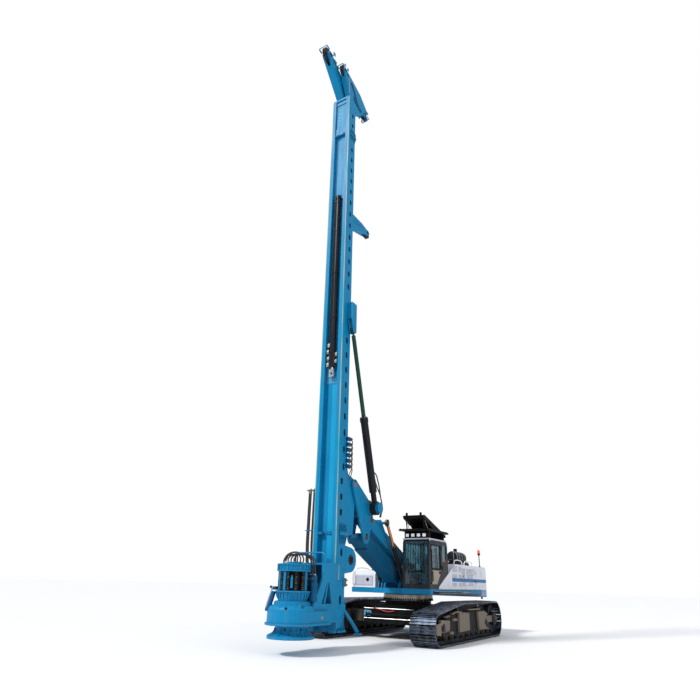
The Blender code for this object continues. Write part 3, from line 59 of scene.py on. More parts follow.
# ---------------------------------------------------------------- places taken from the frame


def middle(node_name):
    """Centre of a CAD node's box."""
    low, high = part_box(node_name)
    return (low + high) / 2


SIDES = (("left", 1), ("right", -1))
SLEW_X = middle("slew_ring").x
DRIVE = middle("drive_sleeve")
TRACK_Y = middle("left_track_belt").y
HOUSE_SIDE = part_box("counterweight")[1].y
MAST_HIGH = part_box("mast_main")[1]
MAST_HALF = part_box("mast_top")[1].y - 0.014


def at(x, y, z):
    """A point given from the slewing centre on the ground."""
    return Vector((SLEW_X + x, y, z))


def ahead(x):
    """Place along the machine of a distance given from the slewing centre."""
    return at(x, 0, 0).x


def upright(points):
    """Outline points given as distance ahead of the slewing centre and height."""
    return [(ahead(x), z) for x, z in points]


# ---------------------------------------------------------------- materials


def linear(code):
    """An sRGB hex value as the linear colour that a shader takes."""
    channels = [int(code[i:i + 2], 16) / 255 for i in (1, 3, 5)]
    return [c / 12.92 if c <= 0.04045 else ((c + 0.055) / 1.055) ** 2.4 for c in channels] + [1.0]


def node(material, kind, sockets=None, **settings):
    """Add a node, with its settings, and its inputs as values or as (node, output) links."""
    made = material.node_tree.nodes.new(kind)
    for name, value in settings.items():
        setattr(made, name, value)
    for name, value in (sockets or {}).items():
        if isinstance(value, tuple) and isinstance(value[0], bpy.types.Node):
            material.node_tree.links.new(value[0].outputs[value[1]], made.inputs[name])
        else:
            made.inputs[name].default_value = value
    return made


def maths(material, operation, *values):
    """A Math node on one or two values."""
    return node(material, "ShaderNodeMath", dict(enumerate(values)), operation=operation)


def mix(material, share, one, other):
    """A Mix node that turns one colour into the other as the share goes from 0 to 1."""
    return node(material, "ShaderNodeMix", {0: share, 6: one, 7: other}, data_type="RGBA")


def noise(material, place, scale, detail):
    """A cloudy pattern, its scale in waves a metre."""
    return node(material, "ShaderNodeTexNoise", {"Vector": place, "Scale": scale, "Detail": detail})


def ramp(material, value, start=(0.0, 1.0), to=(0.0, 1.0)):
    """A Map Range node that stretches the range start of a value to another range."""
    return node(material, "ShaderNodeMapRange", {"Value": value, "From Min": start[0],
        "From Max": start[1], "To Min": to[0], "To Max": to[1]})


def bumps(material, height, strength, metres):
    """A Bump node for relief of the given depth."""
    return node(material, "ShaderNodeBump", {"Height": height, "Strength": strength, "Distance": metres})


def blank(name):
    """A material with only its output, and the Object coordinates."""
    material = bpy.data.materials.new(name)
    material.use_nodes = True
    material.node_tree.nodes.clear()
    place = node(material, "ShaderNodeTexCoord")
    return material, (place, "Object")


def close(material, surface):
    """Link the finished shader to the material's output."""
    node(material, "ShaderNodeOutputMaterial", {"Surface": (surface, "BSDF")})
    return material


def rail_wear(material, place, tinted):
    """Greased, rubbed bands down the front corners of the mast, where the carriage's shoes run."""
    axes = node(material, "ShaderNodeSeparateXYZ", {"Vector": place})
    across = maths(material, "ABSOLUTE", (axes, "Y"))
    corner = ramp(material, (across, "Value"), (MAST_HALF - 0.034, MAST_HALF - 0.022))
    front = maths(material, "GREATER_THAN", (axes, "X"), MAST_HIGH.x - 0.02)
    within = maths(material, "LESS_THAN", (axes, "X"), MAST_HIGH.x + 0.01)
    level = maths(material, "GREATER_THAN", (axes, "Z"), 1.3)
    long = node(material, "ShaderNodeMapping", {"Vector": place, "Scale": (14.0, 14.0, 0.9)})
    smear = noise(material, (long, "Vector"), 1.0, 6.0)
    rubbed = ramp(material, (smear, "Fac"), (0.38, 0.62))
    tone = mix(material, (rubbed, "Result"), linear("#2f9c96"), linear("#a8a08c"))
    parts = [(corner, "Result"), (front, "Value"), (within, "Value"), (level, "Value")]
    mask = parts[0]
    for part in parts[1:]:
        mask = (maths(material, "MULTIPLY", mask, part), "Value")
    mixed = mix(material, mask, (tinted, "Color"), (tone, 2))
    return node(material, "ShaderNodeHueSaturation", {"Color": (mixed, 2)})


def worn_edge(material, radius):
    """1 along the edges, where the rounded normal leaves the flat one, and 0 on faces."""
    edge = node(material, "ShaderNodeBevel", {"Radius": radius}, samples=4)
    flat = node(material, "ShaderNodeNewGeometry")
    turn = node(material, "ShaderNodeVectorMath", {0: (edge, "Normal"), 1: (flat, "Normal")},
        operation="DOT_PRODUCT")
    return ramp(material, (turn, "Value"), (0.97, 0.80))


def painted_shade_between_tracks(material, place, tinted, colour):
    """Painted shade under the machine: black on everything between the two tracks."""
    axes = node(material, "ShaderNodeSeparateXYZ", {"Vector": place})
    across = maths(material, "ABSOLUTE", (axes, "Y"))
    inside = maths(material, "LESS_THAN", (across, "Value"), TRACK_Y + 0.2)
    mixed = mix(material, (inside, "Value"), (tinted, "Color"), linear(colour))
    return node(material, "ShaderNodeHueSaturation", {"Color": (mixed, 2)})


def enamel(name, colour, worn, dust="#8a8071", roughness=0.34, dusty=0.35, band=None, rails=False,
        inner=None):
    """Sprayed two-pack enamel on welded plate: an even, glossy colour with slight orange peel,
    paint rubbed thin along the edges, and dust that thickens towards the ground."""
    material, place = blank(name)
    clouds = noise(material, place, 1.4, 5.0)
    streaks = node(material, "ShaderNodeMapping", {"Vector": place, "Scale": (9.0, 9.0, 0.7)})
    runs = noise(material, (streaks, "Vector"), 1.0, 6.0)
    shade = ramp(material, (clouds, "Fac"), (0.3, 0.7), (0.93, 1.07))
    base = linear(colour)
    if band:
        low, high, rear, band_colour = band
        axes = node(material, "ShaderNodeSeparateXYZ", {"Vector": place})
        above = maths(material, "GREATER_THAN", (axes, "Z"), low)
        below = maths(material, "LESS_THAN", (axes, "Z"), high)
        behind = maths(material, "LESS_THAN", (axes, "X"), rear)
        level = maths(material, "MULTIPLY", (above, "Value"), (below, "Value"))
        inside = maths(material, "MULTIPLY", (level, "Value"), (behind, "Value"))
        painted = mix(material, (inside, "Value"), base, linear(band_colour))
        base = (painted, 2)
    tinted = node(material, "ShaderNodeHueSaturation", {"Color": base, "Value": (shade, "Result")})
    # painted shade: black on everything between the two tracks
    if inner:
        tinted = painted_shade_between_tracks(material, place, tinted, inner)
    if rails:
        tinted = rail_wear(material, place, tinted)
    # dust: heaviest below two metres, broken up by the streaks
    height = node(material, "ShaderNodeSeparateXYZ", {"Vector": place})
    fall = ramp(material, (height, "Z"), (0.1, 2.4), (dusty, 0.03))
    broken = ramp(material, (runs, "Fac"), (0.4, 0.75))
    amount = maths(material, "MULTIPLY", (fall, "Result"), (broken, "Result"))
    dulled = mix(material, (amount, "Value"), (tinted, "Color"), linear(dust))
    rim = worn_edge(material, 0.008)
    chips = noise(material, place, 26.0, 4.0)
    chip = ramp(material, (chips, "Fac"), (0.50, 0.60))
    bare = maths(material, "MULTIPLY", (rim, "Result"), (chip, "Result"))
    colours = mix(material, (bare, "Value"), (dulled, 2), linear(worn))
    rough = ramp(material, (runs, "Fac"), (0.3, 0.7), (roughness - 0.06, roughness + 0.12))
    # orange peel is about 2 mm across, drawn at 12 mm so that it shows
    peel = noise(material, place, 80.0, 2.0)
    bump = bumps(material, (peel, "Fac"), 0.05, 0.004)
    surface = node(material, "ShaderNodeBsdfPrincipled", {"Base Color": (colours, 2),
        "Roughness": (rough, "Result"), "Normal": (bump, "Normal"), "IOR": 1.45,
        "Specular IOR Level": 0.16})
    return close(material, surface)


def metal(name, bright, dull, roughness=0.35, grain=(60.0, 60.0, 60.0), spread=0.5, bump_mm=1.0,
        metallic=1.0, rubbed=None):
    """Bare or plated metal: bright where it is rubbed and dull in patches, with tool marks."""
    material, place = blank(name)
    patch = noise(material, place, 5.0, 6.0)
    stretched = node(material, "ShaderNodeMapping", {"Vector": place, "Scale": grain})
    marks = noise(material, (stretched, "Vector"), 1.0, 4.0)
    share = ramp(material, (patch, "Fac"), (0.5 - 0.2 * spread, 0.62))
    colours = mix(material, (share, "Result"), linear(bright), linear(dull))
    # bright edges, as worn bare steel and as painted glints of sunlight
    if rubbed:
        rim = worn_edge(material, 0.006)
        colours = mix(material, (rim, "Result"), (colours, 2), linear(rubbed))
    rough = ramp(material, (marks, "Fac"), (0.25, 0.75), (roughness * 0.75, min(1.0, roughness * 1.45)))
    bump = bumps(material, (marks, "Fac"), 0.25, bump_mm / 1000)
    surface = node(material, "ShaderNodeBsdfPrincipled", {"Base Color": (colours, 2),
        "Roughness": (rough, "Result"), "Normal": (bump, "Normal"), "Metallic": metallic})
    return close(material, surface)


def rubber(name, colour="#15161a"):
    """Nitrile hose cover: black, wrapped in cloth while it cured, so faintly ribbed and matt."""
    material, place = blank(name)
    wrap = node(material, "ShaderNodeTexWave", {"Vector": place, "Scale": 40.0, "Distortion": 2.0},
        bands_direction="Z")
    grime = noise(material, place, 12.0, 4.0)
    colours = mix(material, (grime, "Fac"), linear(colour), linear("#34343a"))
    bump = bumps(material, (wrap, "Fac"), 0.2, 0.001)
    rough = ramp(material, (grime, "Fac"), to=(0.32, 0.6))
    surface = node(material, "ShaderNodeBsdfPrincipled", {"Base Color": (colours, 2),
        "Roughness": (rough, "Result"), "Normal": (bump, "Normal"), "IOR": 1.52})
    return close(material, surface)


def tinted_glass():
    """Laminated cab glass, green-tinted: it mirrors at a slant and shows the cab behind it."""
    material, place = blank("laminated_glass")
    film = noise(material, place, 3.0, 3.0)
    rough = ramp(material, (film, "Fac"), to=(0.02, 0.09))
    colours = mix(material, (film, "Fac"), linear("#83b5c0"), linear("#a6cdd6"))
    surface = node(material, "ShaderNodeBsdfPrincipled", {"Base Color": (colours, 2),
        "Roughness": (rough, "Result"), "IOR": 1.52, "Transmission Weight": 0.9})
    return close(material, surface)


def lens(name, colour, glow):
    """Moulded polycarbonate lens with fine flutes; the lamp behind it gives a little light."""
    material, place = blank(name)
    flutes = node(material, "ShaderNodeTexWave", {"Vector": place, "Scale": 30.0}, bands_direction="Y")
    bump = bumps(material, (flutes, "Fac"), 0.5, 0.002)
    surface = node(material, "ShaderNodeBsdfPrincipled", {"Base Color": linear(colour), "Roughness": 0.18,
        "Normal": (bump, "Normal"), "IOR": 1.58, "Emission Color": linear(colour),
        "Emission Strength": glow})
    return close(material, surface)


def cloth():
    """Woven polyester seat cover: a fine over-and-under weave, drawn at 6 mm so that it shows."""
    material, place = blank("woven_polyester")
    warp = node(material, "ShaderNodeTexWave", {"Vector": place, "Scale": 52.0}, bands_direction="Y")
    weft = node(material, "ShaderNodeTexWave", {"Vector": place, "Scale": 52.0}, bands_direction="Z")
    weave = maths(material, "MULTIPLY", (warp, "Fac"), (weft, "Fac"))
    colours = mix(material, (weave, "Value"), linear("#17181c"), linear("#3a3c42"))
    bump = bumps(material, (weave, "Value"), 0.5, 0.002)
    surface = node(material, "ShaderNodeBsdfPrincipled", {"Base Color": (colours, 2), "Roughness": 0.85,
        "Normal": (bump, "Normal"), "Sheen Weight": 0.3, "IOR": 1.5})
    return close(material, surface)


STRIPE = (1.78, 1.90, ahead(-0.24), "#1466a0")
FINISH = {
    "blue": enamel("blue_enamel", "#007aa8", "#9a7a5c", roughness=0.4, dusty=0.1, rails=True),
    # a darker copy of the blue for the boom, painted shade
    "boom_painted_shade_blue": enamel("boom_painted_shade_enamel", "#005276", "#9a7a5c", roughness=0.4, dusty=0.1),
    "deep_blue": enamel("deep_blue_enamel", "#005078", "#7f6a58", dusty=0.05),
    # painted shade, for the pockets of the rope head
    "shadow_blue": enamel("painted_shade_blue_enamel", "#05304f", "#3c4a58", roughness=0.6),
    # painted sunlight: a brighter blue for the sunlit part of the mast's channel
    "painted_sunlit_blue": enamel("painted_sunlit_blue_enamel", "#0092be", "#9a7a5c", roughness=0.5, dusty=0.1),
    # pale blue; on the mast it is painted reflection of the sky
    "pale_blue_and_sky_reflection": enamel("pale_blue_and_sky_reflection_enamel", "#4791b8", "#9a7a5c", roughness=0.5),
    "white": enamel("white_enamel", "#d9dbe4", "#a39a90", roughness=0.3, band=STRIPE),
    "plain_white": enamel("plain_white_enamel", "#dfe1e6", "#a39a90", roughness=0.3),
    "cab": enamel("cab_grey_enamel", "#292b30", "#6e665c", roughness=0.36, dusty=0.15),
    "black": enamel("black_enamel", "#0a0b0e", "#3a3733", roughness=0.5, dusty=0.01),
    # grey; behind the louvres it is painted shade between the blades
    "slot": enamel("grey_and_louvre_shade_enamel", "#8a90a0", "#6e665c", roughness=0.5),
    # the taupe turns black between the two tracks, painted shade
    "taupe": enamel("taupe_enamel", "#70675d", "#9b9186", roughness=0.55, dusty=0.5,
                    inner="#0a0b0e"),
    "gloss_black": enamel("black_barrel_enamel", "#191b21", "#4a4540", roughness=0.25),
    "sheath": enamel("green_coat_enamel", "#17443a", "#54604f", roughness=0.45),
    # its edges are bright as worn steel and as painted glints of sunlight
    "shoe": metal("rolled_track_steel", "#5a6980", "#161c28", 0.34, (40, 8, 40), 0.9, 1.5, 0.8,
                  "#c9c4ba"),
    "iron": metal("cast_iron", "#4a4b50", "#26272b", 0.55, (70, 70, 70), 0.8, 1.5, 0.7),
    "steel": metal("machined_steel", "#c2bcb0", "#9c8e80", 0.36, (90, 90, 12), 0.6),
    "chrome": metal("hard_chrome", "#e4e6ea", "#c5c8ce", 0.1, (4, 4, 120), 0.3, 0.2),
    "copper": metal("copper_toned_plate", "#cd7f4e", "#a85f38", 0.2, (4, 4, 90), 0.4, 0.2),
    "zinc": metal("zinc_plated_steel", "#cfd2d3", "#a9a795", 0.3, (50, 50, 50), 0.5),
    "brass": metal("yellow_brass", "#d8a25c", "#a8743c", 0.3, (40, 40, 40), 0.5),
    "spring": metal("oiled_spring_steel", "#6d6b69", "#312f30", 0.38, (60, 60, 60), 0.6),
    "rust": metal("rusted_pin_steel", "#a8643c", "#5a3a2c", 0.6, (50, 50, 50), 0.7, 1.0, 0.5),
    "copper_nut": metal("bronze_coupling", "#d08a4a", "#8a5428", 0.35, (40, 40, 40), 0.5),
    "rubber": rubber("nitrile_hose_rubber"),
    "red": enamel("red_enamel", "#c0282c", "#6e665c", roughness=0.45),
    # beige, painted reflection of the ground in glass
    "painted_ground_reflection": enamel("painted_ground_reflection_enamel", "#9c9484", "#6e665c", roughness=0.35),
    "shade": enamel("pale_grey_enamel", "#b9bccb", "#6e665c", roughness=0.35),
    "glass": tinted_glass(),
    "lamp": lens("clear_polycarbonate", "#f4f7fb", 0.25),
    "beacon": lens("amber_polycarbonate", "#ff4a12", 0.5),
    "cloth": cloth(),
}

# the boom takes the darker blue, painted shade
NODE_FINISH = {"boom_painted_shade_blue": ("boom",), "blue": ("carriage", "drive_housing", "drive_sleeve", "guard_rail",
    "house_frame", "mast_head", "mast_lower", "mast_main", "mast_top", "rocker", "upper_link"),
    "white": ("counterweight", "engine_hood", "hood_door_left", "hood_door_right"),
    "plain_white": ("fuel_tank",), "cab": ("cab_body", "cab_door"), "black":
    ("air_cleaner", "car_body", "roof_guard", "winch_drum"), "taupe":
    ("left_track_frame", "right_track_frame"), "gloss_black": ("crowd_barrel", "left_luff_barrel",
    "right_luff_barrel", "left_backstay_barrel", "right_backstay_barrel"),
    "sheath": ("left_backstay_rod", "right_backstay_rod"), "shoe": ("left_track_belt", "right_track_belt"),
    "iron": ("engine_block", "left_idler", "right_idler", "left_sprocket", "right_sprocket", "main_sheave",
    "aux_sheave", "rear_sheave", "guide_sheave"), "steel": ("slew_ring",), "chrome": ("crowd_rod",),
    "copper": ("left_luff_rod", "right_luff_rod"), "cloth": ("operator_seat",),}


def paint_nodes():
    """Give each CAD node its finish."""
    for finish, names in NODE_FINISH.items():
        for name in names:
            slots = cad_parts[name].data.materials
            slots.clear()
            slots.append(FINISH[finish])


paint_nodes()


# ---------------------------------------------------------------- modelling tools


def calm():
    """Nothing selected, so that an operator only acts on the new piece."""
    bpy.ops.object.select_all(action="DESELECT")


def named(name):
    """The piece just added, with its name."""
    piece = bpy.context.object
    piece.name = name
    piece.data.name = name
    return piece


def settle():
    """Put the active piece's place, turn and size into its mesh."""
    bpy.ops.object.transform_apply(location=True, rotation=True, scale=True)


def done(piece, smooth=False):
    """Back to object mode, shaded flat or smooth with sharp edges kept."""
    bpy.ops.object.mode_set(mode="OBJECT")
    if smooth:
        bpy.ops.object.shade_smooth_by_angle(angle=math.radians(35))
    return piece


def slab(name, low, high, edge=0.004, segments=1):
    """A plate, bar or case between two opposite corners, with its edges broken."""
    calm()
    low, high = Vector(map(min, low, high)), Vector(map(max, low, high))
    bpy.ops.mesh.primitive_cube_add(size=1, location=(low + high) / 2)
    piece = named(name)
    piece.scale = high - low
    settle()
    bpy.ops.object.mode_set(mode="EDIT")
    bpy.ops.mesh.select_all(action="SELECT")
    bpy.ops.mesh.bevel(offset=edge, segments=segments, affect="EDGES")
    return done(piece)


def stretch(piece, start, end):
    """Turn and move a piece modelled up +Z from the origin, so that it runs from start to end."""
    calm()
    bpy.context.view_layer.objects.active = piece
    piece.select_set(True)
    piece.rotation_euler = (Vector(end) - Vector(start)).to_track_quat("Z", "Y").to_euler()
    piece.location = start
    settle()
    return piece


def turned(name, profile, start, end=None, steps=20, smooth=True):
    """A round piece: a circle extruded and resized along (radius, height) points, both ends closed.
    It runs from start towards end, or up."""
    calm()
    bpy.ops.mesh.primitive_circle_add(vertices=steps, radius=profile[0][0], fill_type="NGON",
        location=(0, 0, profile[0][1]))
    piece = named(name)
    bpy.ops.object.mode_set(mode="EDIT")
    bpy.ops.mesh.select_all(action="SELECT")
    bpy.ops.mesh.flip_normals()
    for (before, below), (radius, height) in zip(profile, profile[1:]):
        bpy.ops.mesh.extrude_region_move(TRANSFORM_OT_translate={"value": (0, 0, height - below)})
        share = radius / before
        bpy.ops.transform.resize(value=(share, share, 1), center_override=(0, 0, height))
    bpy.ops.mesh.select_all(action="SELECT")
    bpy.ops.mesh.normals_make_consistent(inside=False)
    done(piece, smooth)
    start = Vector(start)
    return stretch(piece, start, Vector(end) if end is not None else start + Vector((0, 0, 1)))


def rod(name, start, end, radius, steps=14, edge=0.0):
    """A round bar between two points, its ends chamfered."""
    length = (Vector(end) - Vector(start)).length
    edge = edge or min(radius * 0.2, length * 0.2)
    profile = [(radius - edge, 0), (radius, edge), (radius, length - edge), (radius - edge, length)]
    return turned(name, profile, start, end, steps)


def bolt(name, place, direction, across=0.03, height=0.02):
    """Hexagon head on a washer, standing on place along direction."""
    washer = across * 0.72
    profile = [(washer, 0), (washer, height * 0.2), (across / 2, height * 0.2),
        (across / 2, height * 0.85), (across * 0.4, height)]
    place = Vector(place)
    return turned(name, profile, place, place + Vector(direction), 6, smooth=False)


def copies(piece, moves):
    """Copies of a piece, each with its own mesh carried by a matrix; the model stays as the first."""
    made = []
    for move in moves:
        twin = piece.copy()
        twin.data = piece.data.copy()
        twin.data.transform(move)
        bpy.context.scene.collection.objects.link(twin)
        made.append(twin)
    return made


def turns(centre, axis, angles):
    """Matrices that turn about an axis through centre, in degrees."""
    place = Matrix.Translation(Vector(centre))
    return [place @ Matrix.Rotation(math.radians(a), 4, axis) @ place.inverted() for a in angles]


def joined(name, pieces):
    """Several pieces made one."""
    calm()
    for piece in pieces:
        piece.select_set(True)
    bpy.context.view_layer.objects.active = pieces[0]
    if len(pieces) > 1:
        bpy.ops.object.join()
    return named(name)


def hose(name, points, radius=0.014, steps=6, resolution=8):
    """A hydraulic hose or bent tube through its points, as a mesh with closed ends."""
    calm()
    bpy.ops.curve.primitive_bezier_curve_add()
    piece = bpy.context.object
    spline = piece.data.splines[0]
    spline.bezier_points.add(len(points) - 2)
    for knot, point in zip(spline.bezier_points, points):
        knot.co = point
        knot.handle_left_type = knot.handle_right_type = "AUTO"
    piece.location = (0, 0, 0)
    piece.data.resolution_u = resolution
    piece.data.bevel_depth = radius
    piece.data.bevel_resolution = max(0, steps // 2 - 2)
    piece.data.use_fill_caps = True
    bpy.ops.object.convert(target="MESH")
    piece = named(name)
    bpy.ops.object.mode_set(mode="EDIT")
    bpy.ops.mesh.select_all(action="SELECT")
    bpy.ops.mesh.remove_doubles(threshold=0.0001)
    bpy.ops.mesh.normals_make_consistent(inside=False)
    done(piece, True)
    return piece


def outline(name, points, low, high, plane="XZ", edge=0.0):
    """A cut plate: an outline in a plane, extruded between two levels of the third axis."""
    calm()
    low, high = sorted((low, high))
    bpy.ops.mesh.primitive_circle_add(vertices=len(points), radius=1, fill_type="NGON")
    piece = named(name)
    spread = {"XZ": lambda a, b: (a, low, b), "XY": lambda a, b: (a, b, low), "YZ": lambda a,
        b: (low, a, b)}[plane]
    along = {"XZ": (0, high - low, 0), "XY": (0, 0, high - low), "YZ": (high - low, 0, 0)}[plane]
    for vertex, (a, b) in zip(piece.data.vertices, points):
        vertex.co = spread(a, b)
    bpy.ops.object.mode_set(mode="EDIT")
    bpy.ops.mesh.select_all(action="SELECT")
    bpy.ops.mesh.extrude_region_move(TRANSFORM_OT_translate={"value": along})
    bpy.ops.mesh.select_all(action="SELECT")
    bpy.ops.mesh.normals_make_consistent(inside=False)
    if edge:
        bpy.ops.mesh.bevel(offset=edge, segments=1, affect="EDGES")
    return done(piece)


def wear(piece, body, finish):
    """Give a piece its finish and the body that it moves with."""
    piece.data.materials.clear()
    piece.data.materials.append(FINISH[finish])
    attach(piece, body)
    return piece


def fit(name, pieces, body, finish):
    """Several pieces made one, with its name, body and finish."""
    return wear(joined(name, pieces), body, finish)


# ---------------------------------------------------------------- undercarriage

SHOE_PITCH = 0.2168
SHOE_LIFT = 0.1003           # chain and plate, from the wheels' rims to the plate's outer face
GROUSER = 0.0447
CARRIERS = (-1.25, 0.75)     # return rollers, from the slewing centre
CARRIER_RADIUS = 0.10
PANEL_FACE = 0.335           # outer face of the frame's cover plates, from the chain's centre

# outlines on a track frame's outer face, as (x, z) from the slewing centre
FRAME_FACE = (((-2.10, 0.27), (2.17, 0.27), (2.17, 0.615), (1.80, 0.735), (1.20, 0.855), (-1.75, 0.855),
    (-2.10, 0.735)),)
FRAME_WEB = (((-2.20, 0.24), (2.46, 0.24), (2.46, 0.84), (1.60, 0.93), (0.75, 1.035), (-1.25, 1.035),
    (-2.20, 0.98)),)
FRAME_PANELS = (((2.62, 0.60), (2.62, 0.72), (1.90, 0.68), (1.94, 0.42), (2.34, 0.42)),
    ((2.22, 0.76), (2.22, 0.80), (1.88, 0.83), (1.88, 0.79)), ((1.27, 0.65), (1.59, 0.65), (1.59, 0.73),
    (1.27, 0.72)), ((1.10, 0.32), (1.05, 0.87), (0.14, 0.85), (0.15, 0.33)),
    ((-0.80, 0.30), (-0.75, 0.86), (-1.41, 0.86), (-1.77, 0.77), (-1.38, 0.50), (-1.66, 0.33),
    (-1.98, 0.28)), ((1.66, 0.83), (1.70, 0.86), (1.25, 0.925), (0.80, 0.90), (0.80, 0.86), (1.25, 0.88)),
    ((0.15, 0.915), (0.19, 0.955), (-0.99, 0.955), (-0.97, 0.905)), ((1.65, 0.30), (1.88, 0.30),
    (1.92, 0.38), (1.61, 0.37)))
IDLER_GUARD = (((2.78, 0.32), (3.13, 0.35), (3.13, 0.62), (2.74, 0.65)),)
MOTOR_GUARDS = (((-2.96, 0.800), (-2.20, 0.825), (-2.20, 0.850), (-2.96, 0.825)),
    ((-3.05, 0.585), (-2.70, 0.600), (-2.70, 0.620), (-3.05, 0.605)))


def taut_loop(wheels, offset):
    """The chain's line round the wheels as (x, z) points, anticlockwise seen from the right."""
    cloud = []
    for (x, z), radius in wheels:
        for step in range(96):
            angle = math.tau * step / 96
            cloud.append((x + (radius + offset) * math.cos(angle), z + (radius + offset) *
                math.sin(angle)))
    cloud.sort()

    def half(points):
        kept = []
        for p in points:
            while len(kept) > 1:
                (ax, az), (bx, bz) = kept[-2], kept[-1]
                if (bx - ax) * (p[1] - az) - (bz - az) * (p[0] - ax) > 0:
                    break
                kept.pop()
            kept.append(p)
        return kept[:-1]

    return half(cloud) + half(cloud[::-1])


def stations(loop, count):
    """Evenly spaced places along the loop, each with its direction of travel."""
    ends = loop[1:] + loop[:1]
    lengths = [math.dist(a, b) for a, b in zip(loop, ends)]
    step = sum(lengths) / count
    side, run, found = 0, 0.0, []
    for i in range(count):
        while run + lengths[side] < i * step:
            run += lengths[side]
            side += 1
        (ax, az), (bx, bz) = loop[side], ends[side]
        share = (i * step - run) / lengths[side]
        found.append((ax + (bx - ax) * share, az + (bz - az) * share, math.atan2(bz - az, bx - ax)))
    return found


def shoe_model(half_width):
    """One triple-bar shoe lying along +X, its outer side down."""
    pad = SHOE_PITCH * 0.475
    low = GROUSER
    view = [(-pad, 0.012), (-pad, -0.004), (-pad + 0.008, -low), (-pad + 0.022, -low),
        (-pad + 0.032, -0.004), (-0.018, -0.004), (-0.009, -low * 0.9), (0.009, -low * 0.9),
        (0.018, -0.004), (pad - 0.032, -0.004), (pad - 0.022, -low * 0.9), (pad - 0.008, -low * 0.9),
        (pad, -0.004), (pad, 0.012)]
    return outline("shoe", view[::-1], -half_width, half_width)


def link_model(side):
    """One chain link, waisted between its two pin bosses."""
    view = [(-0.118, 0.014), (0.118, 0.014), (0.100, 0.085), (0.045, 0.097), (0.028, 0.060),
        (-0.028, 0.060), (-0.045, 0.097), (-0.100, 0.085)]
    return outline("link", view, side - 0.024, side + 0.024)


def track_chain(name):
    """The shod chain in place of the plain loop: shoes, links and shoe bolts."""
    low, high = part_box(name + "_track_belt")
    centre_y, half = (low.y + high.y) / 2, (high.y - low.y) / 2
    wheels = []
    for label in ("idler", "sprocket"):
        lo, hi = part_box(f"{name}_{label}")
        wheels.append((((lo.x + hi.x) / 2, (lo.z + hi.z) / 2), (hi.z - lo.z) / 2))
    carrier_z = high.z - SHOE_LIFT - GROUSER - CARRIER_RADIUS
    wheels += [((SLEW_X + x, carrier_z), CARRIER_RADIUS) for x in CARRIERS]
    loop = taut_loop(wheels, SHOE_LIFT)
    around = sum(math.dist(a, b) for a, b in zip(loop, loop[1:] + loop[:1]))
    moves = [Matrix.Translation((x, centre_y, z)) @ Matrix.Rotation(-heading, 4, "Y")
        for x, z, heading in stations(loop, round(around / SHOE_PITCH))]
    bolts = [bolt("shoe_bolt", (x, y, -0.002), (0, 0, -1), 0.030, 0.016) for x in (-0.044, 0.044)
        for y in (-0.16, -0.10, 0.10, 0.16)]
    models = (("shoes", "shoe", [shoe_model(half - 0.0005)]), ("chain_links", "iron",
        [link_model(-0.10), link_model(0.10)]), ("shoe_bolts", "shoe", bolts))
    for title, finish, shapes in models:
        model = joined("model", shapes)
        made = copies(model, moves)
        bpy.data.objects.remove(model)
        piece = fit(f"{name}_{title}", made, name + "_track", finish)
        if title == "shoes":
            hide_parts(name + "_track_belt")


def track_side(name, side):
    """Recess and web in black as painted shade, cover plates, hubs and rollers on a track frame's outer
    face.
    """
    body = name + "_track"
    y = side * TRACK_Y
    inner, face = y + side * 0.245, y + side * PANEL_FACE

    def panels(title, views, low, high, finish, edge=0.008):
        made = [outline("panel", upright(view), low, high, edge=edge) for view in views]
        return fit(f"{name}_{title}", made, body, finish)

    # black plates, painted shade in the frame's recesses and inside the chain
    panels("frame_painted_shade_recess", FRAME_FACE, inner, y + side * 0.262, "black")
    panels("frame_painted_shade_web", FRAME_WEB, y - 0.068, y + 0.068, "black", 0.0)
    panels("cover_plates", FRAME_PANELS, inner, face, "taupe")
    panels("idler_guard", IDLER_GUARD, y + side * 0.372, y + side * 0.394, "taupe")
    panels("motor_guards", MOTOR_GUARDS, y + side * 0.30, y + side * 0.36, "shoe", 0.004)

    bosses = []
    for label, hub in (("idler", 0.12), ("sprocket", 0.22)):
        lo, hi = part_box(f"{name}_{label}")
        x, z = (lo.x + hi.x) / 2, (lo.z + hi.z) / 2
        base = (x, y + side * 0.20, z)
        out = Vector((0, side, 0))
        bosses.append(turned("hub", [(hub, 0), (hub, 0.10), (hub * 0.86, 0.13), (hub * 0.45, 0.13),
            (hub * 0.38, 0.16)], base, Vector(base) + out, 28))
        one = bolt("hub_bolt", Vector(base) + Vector((hub * 0.66, side * 0.13, 0)), out, 0.034, 0.02)
        bosses += [one, *copies(one, turns(base, "Y", range(36, 360, 36)))]
    for x, z in ((2.42, 0.50), (-1.62, 0.46)):
        bosses.append(turned("port", [(0.115, 0), (0.115, 0.012), (0.07, 0.03), (0.04, 0.03)],
            at(x, face - side * 0.004, z), at(x, face + side, z), 18))
    fit(f"{name}_wheel_hubs", bosses, body, "iron")

    rollers = []
    for i in range(9):
        x = -1.95 + 4.0 * i / 8
        rollers.append(turned("roller", [(0.115, 0), (0.115, 0.03), (0.075, 0.05), (0.045, 0.05),
            (0.035, 0.07)], at(x, y + side * 0.215, 0.268), at(x, y + side, 0.268), 16))
    fit(f"{name}_roller_ends", rollers, body, "iron")


for side_name, side in SIDES:
    track_chain(side_name)
    track_side(side_name, side)


RING_TEETH, RING_BOLTS = 72, 36


def around_ring(count):
    """Matrices that carry the first of count even pieces to the others round the slew ring."""
    return turns(at(0, 0, 0), "Z", [i * 360 / count for i in range(1, count)])


